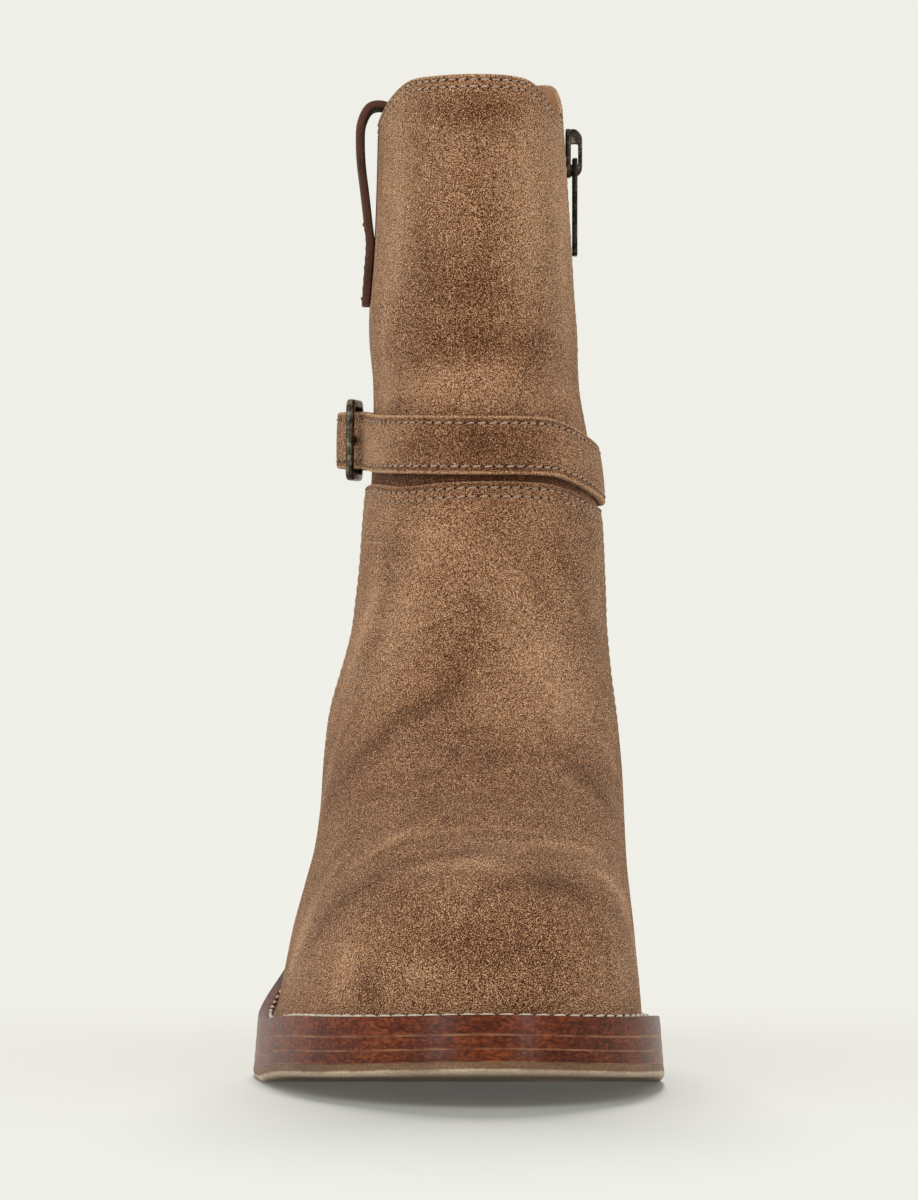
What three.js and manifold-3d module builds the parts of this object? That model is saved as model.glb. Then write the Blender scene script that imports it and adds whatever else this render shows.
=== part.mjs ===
import * as THREE from 'three';
import Module from 'manifold-3d';

// Right ankle boot with a side zip. Millimetres, +Z up, toe towards -Y, +X is the inner side of the foot.
// The origin is the middle of the heel's rest face on the floor.

// Driving sizes of the last
const footLength = 239;
const ballWidth = 87;
const heelHeight = 62;
const instepRise = 80.3;
const shaftHeight = 155;
const backLift = 5;
const collarDip = 12.5;
const heelCentre = 0.8954;

// Driving sizes of the upper and what is sewn on it
const wall = 2.4;
const fit = 0.3;
const vampThickness = 1.3;
const strapWidth = 15.6;
const strapThickness = 2.2;
const strapTipLength = 36;
const loopWidth = 18;
const loopThickness = 2;
const loopDrop = 50;
const loopReach = 3.6;

// Driving sizes of the sole
const soleThickness = 15.2;
const toeSpring = 7.4;
const weltReach = 6;
const soleFlare = 1.2;
const edgeBreak = 0.4;
const insoleThickness = 2.5;
const insolePlay = 1.2;
const heelLength = 54;
const heelInset = 0.8;
const heelTaper = 3;
const topLiftThickness = 6;

// Driving sizes of the metal pieces
const bucklePlay = 0.8;
const buckleBar = 2.3;
const buckleLength = 19.6;
const buckleThickness = 2.2;
const buckleTilt = 7;
const prongWidth = 2.4;
const prongThickness = 1.7;
const zipSlot = 9;
const zipBottom = 123;
const tapeThickness = 0.8;
const teethWidth = 5;
const teethThickness = 0.6;
const sliderHeight = 13.5;
const sliderBelowCollar = 2.7;
const sliderPlate = 1.4;
const archWidth = 2;
const archThickness = 1.1;
const pullLength = 25.5;
const pullWidth = 6;
const pullThickness = 1.4;
const pinRadius = 0.6;
const pinRise = 4.4;
const archOpening = 4.7;

// Mesh fineness
const ringSteps = 40;
const soleSteps = 36;
const heelSteps = 10;

const turn = 2 * Math.PI;
const rad = (degrees) => degrees * Math.PI / 180;
const mix = (a, b, share) => a + (b - a) * share;
const clamp = (value, low, high) => Math.min(high, Math.max(low, value));
const placeY = (place) => (place - heelCentre) * footLength;
const placeOf = (y) => y / footLength + heelCentre;

// A smooth curve through a table's rows that never passes beyond two equal neighbours
function curveThrough(rows, at, column) {
  const last = rows.length - 1;
  let k = 0;
  while (k < last - 1 && at > rows[k + 1][0]) k += 1;
  const step = (i) => (rows[i + 1][column] - rows[i][column]) / (rows[i + 1][0] - rows[i][0]);
  const slope = (i) => {
    if (i === 0) return step(0);
    if (i === last) return step(last - 1);
    const before = step(i - 1);
    const after = step(i);
    return before * after <= 0 ? 0 : 2 * before * after / (before + after);
  };
  const span = rows[k + 1][0] - rows[k][0];
  const s = clamp((at - rows[k][0]) / span, 0, 1);
  const bend = s * s * (3 - 2 * s);
  const lead = s * (1 - s) * (1 - s) * span * slope(k);
  const trail = s * s * (s - 1) * span * slope(k + 1);
  return mix(rows[k][column], rows[k + 1][column], bend) + lead + trail;
}

// A smooth closed curve through rows of angle and value, all round 360 degrees
function curveRound(rows, degrees, column) {
  const at = ((degrees % 360) + 360) % 360;
  const n = rows.length;
  let k = 0;
  while (k < n - 1 && at >= rows[k + 1][0]) k += 1;
  const row = (i) => {
    const laps = Math.floor(i / n);
    const found = rows[i - laps * n];
    return [found[0] + 360 * laps, found[column]];
  };
  const [a, b, c, d] = [row(k - 1), row(k), row(k + 1), row(k + 2)];
  const s = (at - b[0]) / (c[0] - b[0]);
  const leadSlope = (c[1] - a[1]) / (c[0] - a[0]) * (c[0] - b[0]);
  const trailSlope = (d[1] - b[1]) / (d[0] - b[0]) * (c[0] - b[0]);
  const bend = s * s * (3 - 2 * s);
  return mix(b[1], c[1], bend) + s * (1 - s) * (1 - s) * leadSlope - s * s * (1 - s) * trailSlope;
}

// Sole profile along the foot: place, share of soleThickness, share of the heel's rise, share of toeSpring
const soleProfile = [
  [-0.04, 0.94, 0, 1.15],
  [0, 0.94, 0, 0.97],
  [0.08, 0.965, 0, 0.7],
  [0.188, 0.99, 0, 0.42],
  [0.25, 1, 0, 0.17],
  [0.285, 1, 0, 0],
  [0.332, 1, 0, 0],
  [0.375, 0.98, 0.018, 0],
  [0.477, 0.89, 0.15, 0],
  [0.582, 0.76, 0.37, 0],
  [0.686, 0.63, 0.63, 0],
  [0.791, 0.56, 0.825, 0],
  [0.895, 0.53, 0.945, 0],
  [1.04, 0.53, 1, 0],
];
const heelRise = heelHeight - soleThickness * 0.53;
const soleDepth = (y) => soleThickness * curveThrough(soleProfile, placeOf(y), 1);
function soleBottom(y) {
  const place = placeOf(y);
  return heelRise * curveThrough(soleProfile, place, 2) + toeSpring * curveThrough(soleProfile, place, 3);
}
const soleLevel = (y, share) => soleBottom(y) + soleDepth(y) * share;
const soleTop = (y) => soleLevel(y, 1);

// Feather line all round: angle from the toe over the inner side, half width as a share of ballWidth
const featherTable = [
  [0, 0.03], [20, 0.25], [40, 0.4], [60, 0.446], [75, 0.405], [90, 0.31], [110, 0.265],
  [130, 0.305], [150, 0.253], [165, 0.147], [180, -0.005], [195, -0.152], [210, -0.267],
  [230, -0.345], [250, -0.402], [270, -0.522], [285, -0.57], [300, -0.528], [320, -0.405],
  [340, -0.21],
];
const lateralReach = 0.57;
const medialReach = 0.446;
const featherX = (angle) => ballWidth * curveRound(featherTable, THREE.MathUtils.radToDeg(angle), 1);
const along = (angle) => (1 - Math.cos(angle)) / 2;

// How far the welt stands past the feather line, as a share of weltReach
const weltTable = [
  [0, 0.8], [30, 0.85], [60, 1], [80, 0.95], [100, 0.7], [130, 0.42], [180, 0.36],
  [230, 0.42], [260, 0.75], [280, 1], [300, 1], [330, 0.85],
];
const weltOut = (angle) => weltReach * curveRound(weltTable, THREE.MathUtils.radToDeg(angle), 1);

function solePlan(angle, grow) {
  const d = 0.001;
  const dx = featherX(angle + d) - featherX(angle - d);
  const dy = placeY(along(angle + d)) - placeY(along(angle - d));
  const size = Math.hypot(dx, dy);
  return [featherX(angle) + grow * dy / size, placeY(along(angle)) - grow * dx / size];
}

// Rings of the upper from the feather line to the collar. front and back are places along the foot;
// instep, shaft and rear are heights as shares of instepRise, shaftHeight and the back's rise;
// lateral and medial are half widths as shares of ballWidth; outline blends the feather's plan into
// an ellipse, bow keeps the sole's curve and dip is the share of the collar's own dip.
const upperColumns = ['front', 'instep', 'shaft', 'back', 'rear', 'lateral', 'medial', 'outline', 'bow', 'dip'];
const upperTable = [
  [0, 0, 0, 1, 0, 0.57, 0.446, 1, 1, 0],
  [-0.004, 0.103, 0, 1.01, 0.035, 0.55, 0.44, 0.97, 0.94, 0],
  [0.008, 0.24, 0, 1.017, 0.07, 0.524, 0.432, 0.91, 0.83, 0],
  [0.046, 0.352, 0, 1.021, 0.105, 0.493, 0.428, 0.8, 0.72, 0],
  [0.104, 0.427, 0, 1.021, 0.135, 0.47, 0.43, 0.65, 0.61, 0],
  [0.188, 0.512, 0, 1.018, 0.17, 0.457, 0.434, 0.5, 0.44, 0],
  [0.272, 0.625, 0, 1.013, 0.205, 0.452, 0.434, 0.38, 0.33, 0],
  [0.356, 0.78, 0, 1.005, 0.24, 0.434, 0.422, 0.28, 0.22, 0],
  [0.433, 0.98, 0, 0.996, 0.285, 0.388, 0.4, 0.2, 0.14, 0],
  [0.496, 1, 0.117, 0.987, 0.34, 0.355, 0.386, 0.12, 0.06, 0],
  [0.536, 1, 0.24, 0.98, 0.405, 0.338, 0.374, 0.05, 0, 0],
  [0.558, 1, 0.355, 0.977, 0.48, 0.325, 0.352, 0, 0, 0],
  [0.568, 1, 0.48, 0.982, 0.575, 0.325, 0.318, 0, 0, 0],
  [0.572, 1, 0.6, 0.989, 0.665, 0.334, 0.303, 0, 0, 0],
  [0.573, 1, 0.76, 0.999, 0.79, 0.317, 0.287, 0, 0, 0.1],
  [0.565, 1, 1, 1.013, 1, 0.308, 0.266, 0, 0, 1],
];
const topRow = upperTable.length - 1;

// How far the collar lies under the line from its front to its back: angle, share of collarDip
const collarTable = [
  [0, 0], [30, 0.06], [45, 0.27], [60, 0.68], [75, 0.79], [90, 0.8], [102, 0.36], [115, 0.06],
  [140, 0], [180, 0], [220, 0.1], [250, 0.6], [270, 0.86], [285, 0.72], [300, 0.38], [315, 0.1],
  [330, 0.03],
];
const collarDrop = (angle) => collarDip * curveRound(collarTable, THREE.MathUtils.radToDeg(angle), 1);
const toeFeather = soleTop(placeY(0));
const heelFeather = soleTop(placeY(1));
const backRise = toeFeather + instepRise + shaftHeight + backLift - heelFeather;

function upperRow(row) {
  const k = clamp(Math.floor(row), 0, topRow - 1);
  const s = row - k;
  const pick = (i, c) => {
    if (i < 0) return 2 * upperTable[0][c] - upperTable[1][c];
    if (i > topRow) return 2 * upperTable[topRow][c] - upperTable[topRow - 1][c];
    return upperTable[i][c];
  };
  const values = {};
  upperColumns.forEach((name, c) => {
    const [p0, p1, p2, p3] = [pick(k - 1, c), pick(k, c), pick(k + 1, c), pick(k + 2, c)];
    const curve = (2 * p0 - 5 * p1 + 4 * p2 - p3) * s * s + (3 * p1 - p0 - 3 * p2 + p3) * s * s * s;
    values[name] = p1 + 0.5 * ((p2 - p0) * s + curve);
  });
  return values;
}

function upperPoint(angle, row) {
  const r = upperRow(row);
  const share = along(angle);
  const side = (1 + Math.sin(angle)) / 2;
  const bow = soleTop(placeY(share)) - mix(toeFeather, heelFeather, share);
  const frontZ = toeFeather + r.instep * instepRise + r.shaft * shaftHeight;
  const backZ = heelFeather + r.rear * backRise;
  const half = ballWidth * mix(r.lateral, r.medial, side);
  const unit = featherX(angle) / ballWidth / mix(lateralReach, medialReach, side);
  return new THREE.Vector3(
    half * mix(Math.sin(angle), unit, r.outline),
    mix(placeY(r.front), placeY(r.back), share),
    mix(frontZ, backZ, share) + r.bow * bow - r.dip * collarDrop(angle) + fit,
  );
}

function upperNormal(angle, row) {
  const d = 0.002;
  const round = upperPoint(angle + d, row).sub(upperPoint(angle - d, row));
  const up = upperPoint(angle, Math.min(row + d, topRow)).sub(upperPoint(angle, Math.max(row - d, 0)));
  return round.cross(up).normalize();
}

// A point at a distance off the upper's surface; the lowest row stays level with the sole's top
function upperOffset(angle, row, distance) {
  const normal = upperNormal(angle, row);
  const point = upperPoint(angle, row);
  if (row > 0) return point.addScaledVector(normal, distance);
  point.addScaledVector(normal.setZ(0).normalize(), distance);
  return point.setZ(soleTop(point.y) + fit);
}

function rowAtHeight(angle, z) {
  let low = 0;
  let high = topRow;
  for (let i = 0; i < 30; i += 1) {
    const middle = (low + high) / 2;
    if (upperPoint(angle, middle).z < z) low = middle;
    else high = middle;
  }
  return (low + high) / 2;
}

// Millimetres of surface for one radian of angle
function roundSpeed(angle, row) {
  const d = 0.002;
  return upperPoint(angle + d, row).distanceTo(upperPoint(angle - d, row)) / (2 * d);
}

// Closed meshes from points and faces
function newBody() {
  return { points: [], keys: new Map(), triangles: [] };
}

function vertex(body, point) {
  const key = [point.x, point.y, point.z].map((v) => Math.round(v * 1000)).join(' ');
  if (!body.keys.has(key)) {
    body.keys.set(key, body.points.length / 3);
    body.points.push(point.x, point.y, point.z);
  }
  return body.keys.get(key);
}

function triangle(body, a, b, c) {
  const ids = [vertex(body, a), vertex(body, b), vertex(body, c)];
  if (new Set(ids).size === 3) body.triangles.push(...ids);
}

function quad(body, a, b, c, d) {
  triangle(body, a, b, c);
  triangle(body, a, c, d);
}

function geometryOf(body) {
  const geometry = new THREE.BufferGeometry();
  geometry.setAttribute('position', new THREE.Float32BufferAttribute(body.points, 3));
  geometry.setIndex(body.triangles);
  return geometry;
}

// A sheet with two sides: outer and inner are grids of points, columns run round and rows run up
function sheetBody(outer, inner, closed) {
  const body = newBody();
  const columns = outer.length;
  const top = outer[0].length - 1;
  const bands = closed ? columns : columns - 1;
  for (let i = 0; i < bands; i += 1) {
    const n = (i + 1) % columns;
    for (let j = 0; j < top; j += 1) {
      quad(body, outer[i][j], outer[n][j], outer[n][j + 1], outer[i][j + 1]);
      quad(body, inner[i][j + 1], inner[n][j + 1], inner[n][j], inner[i][j]);
    }
    quad(body, inner[i][0], inner[n][0], outer[n][0], outer[i][0]);
    quad(body, outer[i][top], outer[n][top], inner[n][top], inner[i][top]);
  }
  if (!closed) {
    const e = columns - 1;
    for (let j = 0; j < top; j += 1) {
      quad(body, outer[0][j], outer[0][j + 1], inner[0][j + 1], inner[0][j]);
      quad(body, inner[e][j], inner[e][j + 1], outer[e][j + 1], outer[e][j]);
    }
  }
  return geometryOf(body);
}

// A sheet laid on the upper: spots gives each column its angle and rows, lift its two distances
function overlay(columns, lift) {
  const side = (name) => columns.map(({ angle, rows }, i) => rows.map((row, j) => (
    upperOffset(angle, row, lift(i, j)[name]))));
  return sheetBody(side('outer'), side('inner'), false);
}

// A layer of the sole or heel: rings run from its top to its bottom, each with its own growth and level
function slab(rings, steps) {
  const body = newBody();
  const points = rings.map(({ from, grow, level }) => (
    Array.from({ length: steps + 1 }, (_, i) => {
      const angle = mix(from, Math.PI, i / steps);
      return [angle, -angle].map((a) => {
        const [x, y] = solePlan(a, grow(a));
        return new THREE.Vector3(x, y, level(y));
      });
    })));
  const last = points.length - 1;
  for (let i = 0; i < steps; i += 1) {
    const [topNear, topFar] = [points[0][i], points[0][i + 1]];
    const [lowNear, lowFar] = [points[last][i], points[last][i + 1]];
    quad(body, topNear[1], topNear[0], topFar[0], topFar[1]);
    quad(body, lowFar[1], lowFar[0], lowNear[0], lowNear[1]);
    for (let r = 0; r < last; r += 1) {
      const [near, far, nearLow, farLow] = [points[r][i], points[r][i + 1], points[r + 1][i], points[r + 1][i + 1]];
      quad(body, near[0], nearLow[0], farLow[0], far[0]);
      quad(body, far[1], farLow[1], nearLow[1], near[1]);
    }
  }
  for (let r = 0; r < last; r += 1) {
    const [near, nearLow] = [points[r][0], points[r + 1][0]];
    quad(body, near[1], nearLow[1], nearLow[0], near[0]);
  }
  return geometryOf(body);
}

// Booleans on closed meshes
const wasm = await Module();
wasm.setup();

function solidOf(geometry) {
  const body = newBody();
  const source = geometry.index ? geometry.toNonIndexed() : geometry;
  const position = source.attributes.position;
  const at = (i) => new THREE.Vector3().fromBufferAttribute(position, i);
  for (let i = 0; i < position.count; i += 3) triangle(body, at(i), at(i + 1), at(i + 2));
  return new wasm.Manifold(new wasm.Mesh({
    numProp: 3,
    vertProperties: new Float32Array(body.points),
    triVerts: new Uint32Array(body.triangles),
  }));
}

function geometryFrom(solid) {
  const { vertProperties, triVerts } = solid.getMesh();
  const geometry = new THREE.BufferGeometry();
  geometry.setAttribute('position', new THREE.BufferAttribute(new Float32Array(vertProperties), 3));
  geometry.setIndex(new THREE.BufferAttribute(new Uint32Array(triVerts), 1));
  return geometry;
}

const boot = new THREE.Group();
boot.name = 'zip_boot';

function add(name, geometry, look, group = boot) {
  const mesh = new THREE.Mesh(geometry, new THREE.MeshStandardMaterial(look));
  mesh.name = name;
  group.add(mesh);
  return mesh;
}

const suede = { color: 0x86664a, roughness: 0.95, metalness: 0 };
const stackedLeather = { color: 0x6b3a22, roughness: 0.35, metalness: 0 };
const tanLeather = { color: 0x8a7355, roughness: 0.7, metalness: 0 };
const blackRubber = { color: 0x2a2422, roughness: 0.8, metalness: 0 };
const lining = { color: 0xa9713f, roughness: 0.6, metalness: 0 };
const darkLeather = { color: 0x4a241a, roughness: 0.5, metalness: 0 };
const agedMetal = { color: 0x77706a, roughness: 0.35, metalness: 1 };
const zipCloth = { color: 0x3b2f26, roughness: 0.9, metalness: 0 };

// Sole: four layers over one profile, each with its share of the thickness
const layerTable = [
  ['welt', 1, 0.667, stackedLeather],
  ['midsole_upper', 0.667, 0.433, stackedLeather],
  ['midsole_lower', 0.433, 0.212, stackedLeather],
  ['outsole', 0.212, 0, tanLeather],
];

function soleLayer(upperShare, lowerShare) {
  const topGap = upperShare < 1 ? fit : 0;
  const top = (y) => soleLevel(y, upperShare) - topGap;
  const bottom = (y) => soleLevel(y, lowerShare);
  const grow = (share, inset) => (a) => weltOut(a) + soleFlare * (1 - share) * weltOut(a) / weltReach - inset;
  return slab([
    { from: 0, grow: grow(upperShare, edgeBreak), level: top },
    { from: 0, grow: grow(upperShare, 0), level: (y) => top(y) - edgeBreak },
    { from: 0, grow: grow(lowerShare, 0), level: (y) => bottom(y) + edgeBreak },
    { from: 0, grow: grow(lowerShare, edgeBreak), level: bottom },
  ], soleSteps);
}
layerTable.forEach(([name, upperShare, lowerShare, look]) => {
  add(name, soleLayer(upperShare, lowerShare), look);
});

// Heel: a block of stacked leather under the outsole, with a top lift that stands on the floor
const heelBreast = (shorten) => {
  const y = placeY(1) - heelLength + shorten;
  return Math.acos(clamp(1 - 2 * placeOf(y), -1, 1));
};
const heelGrow = (shorten) => (a) => weltOut(a) - heelInset - shorten;
const taperAt = (z) => heelTaper * (1 - z / heelHeight);
function heelBlock(top, bottom, topTaper, bottomTaper) {
  return slab([
    { from: heelBreast(topTaper), grow: heelGrow(topTaper), level: top },
    { from: heelBreast(bottomTaper), grow: heelGrow(bottomTaper), level: bottom },
  ], heelSteps);
}
add('heel_stack', heelBlock(
  (y) => soleBottom(y) - fit,
  () => topLiftThickness + fit,
  0,
  taperAt(topLiftThickness + fit),
), stackedLeather);
add('top_lift', heelBlock(() => topLiftThickness, () => 0, taperAt(topLiftThickness), heelTaper), blackRubber);

// Insole on the welt, inside the wall
add('insole', slab([
  { from: 0, grow: () => -wall - insolePlay, level: (y) => soleTop(y) + fit + insoleThickness },
  { from: 0, grow: () => -wall - insolePlay, level: (y) => soleTop(y) + fit },
], soleSteps), lining);

// Zip: a slot on the inner side from zipBottom up through the collar
const zipAngle = rad(90);
const zipRows = (bottomGap, topGap, steps) => {
  const low = rowAtHeight(zipAngle, zipBottom + bottomGap);
  const high = topRow - topGap;
  return Array.from({ length: steps + 1 }, (_, j) => mix(low, high, j / steps));
};

function zipStrip(width, rows, inner, outer) {
  const shares = [-0.5, 0, 0.5];
  const side = (distance) => shares.map((share) => rows.map((row) => {
    const angle = zipAngle + share * width / roundSpeed(zipAngle, row);
    return upperOffset(angle, Math.min(row, topRow), distance);
  }));
  return sheetBody(side(outer), side(inner), false);
}

// Upper: one hollow wall on the rings, open at the collar and underneath, cut by the zip slot
const upperRows = Array.from({ length: 2 * topRow + 1 }, (_, j) => j / 2);
function upperWall() {
  const angles = Array.from({ length: ringSteps }, (_, i) => turn * i / ringSteps);
  const side = (distance) => angles.map((angle) => upperRows.map((row) => upperOffset(angle, row, distance)));
  return sheetBody(side(0), side(-wall), true);
}
const slotReach = 4;
const slotRows = zipRows(0, 0, 12);
const slotCutter = solidOf(zipStrip(zipSlot, slotRows, -wall - slotReach, slotReach));
const slotCrest = solidOf(zipStrip(zipSlot, slotRows, -wall - slotReach, slotReach).translate(0, 0, slotReach));
add('upper', geometryFrom(solidOf(upperWall()).subtract(slotCutter).subtract(slotCrest)), suede);

const tapeInner = -wall;
const tapeOuter = -wall + tapeThickness;
const teethInner = tapeOuter + fit;
const teethOuter = teethInner + teethThickness;
const tapeRows = zipRows(fit, 0.04, 12);
add('zip_tape', zipStrip(zipSlot - 2 * fit, tapeRows, tapeInner, tapeOuter), zipCloth);

// Slider near the collar, the arch that holds the pull, and the pull hanging from it
const collarAtZip = upperPoint(zipAngle, topRow).z;
const sliderTop = collarAtZip - sliderBelowCollar;
const sliderBottom = sliderTop - sliderHeight;
const sliderY = upperPoint(zipAngle, rowAtHeight(zipAngle, mix(sliderBottom, sliderTop, 0.5))).y;
const shaftX = (z) => upperPoint(zipAngle, rowAtHeight(zipAngle, z)).x;
const plateInner = shaftX(sliderBottom) + teethOuter + fit;
const plateOuter = plateInner + sliderPlate;
const rootRadius = pinRadius + 0.2;
const pinX = plateOuter + rootRadius + fit;
const pinZ = sliderBottom + pinRise;
const archLow = pinZ - pinRadius - fit;
const archHigh = sliderTop - fit;
const archFoot = sliderBottom + fit;
const holeHigh = pinZ + archOpening;
const archOuter = pinX + pinRadius + fit + archThickness;
const sliderWidth = zipSlot - 4 * fit;

const teethTop = sliderBottom - fit;
const teethRows = zipRows(1, topRow - rowAtHeight(zipAngle, teethTop), 10);
add('zip_teeth', zipStrip(teethWidth, teethRows, teethInner, teethOuter), agedMetal);

// A flat outline in the X-Z plane, pushed along Y about a middle
function profileAlongY(points, holes, width, middleY) {
  const shape = new THREE.Shape(points.map(([x, z]) => new THREE.Vector2(x, z)));
  holes.forEach((hole) => shape.holes.push(new THREE.Path(hole.map(([x, z]) => new THREE.Vector2(x, z)))));
  const geometry = new THREE.ExtrudeGeometry(shape, { depth: width, bevelEnabled: false });
  return geometry.rotateX(Math.PI / 2).translate(0, middleY + width / 2, 0);
}

const cornerCut = 1.6;
const plateSolid = solidOf(profileAlongY([
  [plateInner, sliderBottom], [plateOuter, sliderBottom], [plateOuter, sliderTop], [plateInner, sliderTop],
], [], sliderWidth, sliderY));
const archSolid = solidOf(profileAlongY([
  [plateOuter - 0.5, archFoot], [archOuter - cornerCut, archFoot],
  [archOuter, archFoot + cornerCut], [archOuter, archHigh - cornerCut],
  [archOuter - cornerCut, archHigh], [plateOuter - 0.5, archHigh],
], [[
  [plateOuter, archLow], [archOuter - archThickness, archLow],
  [archOuter - archThickness, holeHigh], [plateOuter, holeHigh],
]], archWidth, sliderY));
add('zip_slider', geometryFrom(plateSolid.add(archSolid)), agedMetal);

const armStart = archWidth / 2 + 0.4;
const armLength = pinZ - sliderBottom + 1.2;
function pullSolid() {
  const pin = new THREE.CylinderGeometry(pinRadius, pinRadius, pullWidth, 12).translate(pinX, sliderY, pinZ);
  const half = pullThickness / 2;
  let solid = solidOf(pin);
  const armWidth = pullWidth / 2 - armStart;
  [-1, 1].forEach((side) => {
    const middle = sliderY + side * (armStart + armWidth / 2);
    const arm = profileAlongY([
      [pinX - half, pinZ - armLength - 1], [pinX + half, pinZ - armLength - 1],
      [pinX + half, pinZ + 0.3], [pinX + 0.3, pinZ + rootRadius],
      [pinX - 0.3, pinZ + rootRadius], [pinX - half, pinZ + 0.3],
    ], [], armWidth, middle);
    solid = solid.add(solidOf(arm));
  });
  const low = pinZ - pullLength;
  const blade = new THREE.Shape([
    [-0.5, -armLength], [-0.36, -0.5 * pullLength], [-0.36, -0.8 * pullLength], [-0.5, -0.92 * pullLength],
    [-0.4, -pullLength], [0.4, -pullLength], [0.5, -0.92 * pullLength], [0.36, -0.8 * pullLength],
    [0.36, -0.5 * pullLength], [0.5, -armLength],
  ].map(([share, z]) => new THREE.Vector2(share * pullWidth, z)));
  const bladeMesh = new THREE.ExtrudeGeometry(blade, { depth: pullThickness, bevelEnabled: false });
  bladeMesh.rotateX(Math.PI / 2).rotateZ(Math.PI / 2);
  bladeMesh.computeBoundingBox();
  const { min } = bladeMesh.boundingBox;
  bladeMesh.translate(pinX - half - min.x, sliderY - pullWidth / 2 - min.y, low - min.z);
  return solid.add(solidOf(bladeMesh));
}
add('zip_pull', geometryFrom(pullSolid()), agedMetal);

// Vamp: an overlay on the front of the upper, its top edge just under the strap
const vampSides = [rad(-85), rad(80)];
const vampEdge = [
  [-90, 0.962], [-70, 0.967], [-40, 0.96], [-15, 0.966], [10, 0.968], [30, 0.966], [50, 0.952], [70, 0.931],
  [90, 0.922],
];
const vampTopHeight = toeFeather + instepRise + 0.348 * shaftHeight;
const vampRows = upperRows.filter((row) => row <= 9);
const ringStep = turn / ringSteps;
function vampSpots() {
  const first = Math.ceil(vampSides[0] / ringStep);
  const last = Math.floor(vampSides[1] / ringStep);
  const between = Array.from({ length: last - first + 1 }, (_, i) => (first + i) * ringStep);
  return [vampSides[0], ...between, vampSides[1]].map((angle) => {
    const edge = curveThrough(vampEdge, THREE.MathUtils.radToDeg(angle), 1) * vampTopHeight;
    const top = rowAtHeight(angle, edge);
    return { angle, rows: [...vampRows, mix(9, top, 0.5), top] };
  });
}
add('vamp', overlay(vampSpots(), () => ({ inner: fit, outer: fit + vampThickness })), suede);

// Strap: one belt round the ankle, middle height as a share of the collar's front height
const collarFront = toeFeather + instepRise + shaftHeight;
const strapTable = [
  [0, 0.6228], [35, 0.6222], [50, 0.615], [70, 0.602], [90, 0.595], [135, 0.597], [180, 0.61], [225, 0.63],
  [270, 0.633], [300, 0.627], [340, 0.6235],
];
const strapMiddle = (angle) => collarFront * curveRound(strapTable, THREE.MathUtils.radToDeg(angle), 1);
const buckleAngle = rad(-90);
const buckleRow = rowAtHeight(buckleAngle, strapMiddle(buckleAngle));
const buckleSpeed = roundSpeed(buckleAngle, buckleRow);
const barMiddle = (buckleLength - buckleBar) / 2;
const bendAllowance = 0.6;
const rearStandoff = 2 * barMiddle * Math.sin(rad(buckleTilt));
const strapLift = strapThickness + fit + rearStandoff + buckleThickness + fit + bendAllowance;
const strapRest = (strapThickness + fit) / strapLift;

// How high the strap's end stands: distance past the buckle's middle towards the front, share of strapLift
const liftTable = [
  [-strapTipLength, strapRest], [-2.9 * barMiddle, strapRest], [-1.7 * barMiddle, 0.96],
  [-barMiddle, 1], [barMiddle, 0], [2 * barMiddle, 0],
];
const tipShare = [[0, 0.3], [3, 0.72], [8, 1], [12, 1]];
function strapSpots() {
  const start = buckleAngle - strapTipLength / buckleSpeed;
  const end = buckleAngle + turn - 4 / buckleSpeed;
  const tipSteps = 14;
  const roundSteps = 40;
  const tipEnd = buckleAngle + 2 * barMiddle / buckleSpeed;
  const angles = Array.from({ length: tipSteps }, (_, i) => mix(start, tipEnd, i / tipSteps));
  angles.push(...Array.from({ length: roundSteps + 1 }, (_, i) => mix(tipEnd, end, i / roundSteps)));
  return angles.map((angle) => {
    const fromTip = (angle - start) * buckleSpeed;
    const half = strapWidth / 2 * curveThrough(tipShare, fromTip, 1);
    const middle = strapMiddle(angle);
    return { angle, rows: [-half, 0, half].map((dz) => rowAtHeight(angle, middle + dz)) };
  });
}
const strapColumns = strapSpots();
function strapRise(i) {
  const distance = (strapColumns[i].angle - buckleAngle) * buckleSpeed;
  const inner = fit + strapLift * curveThrough(liftTable, distance, 1);
  return { inner, outer: inner + strapThickness };
}

// Buckle: a frame over the strap, and a prong from its rear bar through the strap onto its front bar
const buckleGroup = new THREE.Group();
const buckleNormal = upperNormal(buckleAngle, buckleRow);
const buckleFront = new THREE.Vector3(0, 0, 1).cross(buckleNormal).negate().normalize();
const buckleUp = buckleNormal.clone().cross(buckleFront);
const buckleBasis = new THREE.Matrix4().makeBasis(buckleFront, buckleUp, buckleNormal);
buckleGroup.quaternion.setFromRotationMatrix(buckleBasis);
buckleGroup.rotateY(rad(buckleTilt));
buckleGroup.position.copy(upperPoint(buckleAngle, buckleRow)).addScaledVector(buckleNormal, rearStandoff / 2);
boot.add(buckleGroup);

const buckleHeight = strapWidth + 2 * bucklePlay + 2 * buckleBar;
const frameBase = fit + strapThickness + fit;
function roundedRectangle(target, width, height, radius) {
  const [x, y] = [width / 2, height / 2];
  target.moveTo(-x + radius, -y);
  target.lineTo(x - radius, -y);
  target.absarc(x - radius, -y + radius, radius, -Math.PI / 2, 0);
  target.lineTo(x, y - radius);
  target.absarc(x - radius, y - radius, radius, 0, Math.PI / 2);
  target.lineTo(-x + radius, y);
  target.absarc(-x + radius, y - radius, radius, Math.PI / 2, Math.PI);
  target.lineTo(-x, -y + radius);
  target.absarc(-x + radius, -y + radius, radius, Math.PI, 1.5 * Math.PI);
  return target;
}
const cornerRadius = 3.2;
const frameShape = roundedRectangle(new THREE.Shape(), buckleLength, buckleHeight, cornerRadius);
frameShape.holes.push(roundedRectangle(
  new THREE.Path(), buckleLength - 2 * buckleBar, buckleHeight - 2 * buckleBar, cornerRadius - buckleBar / 2));
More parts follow.
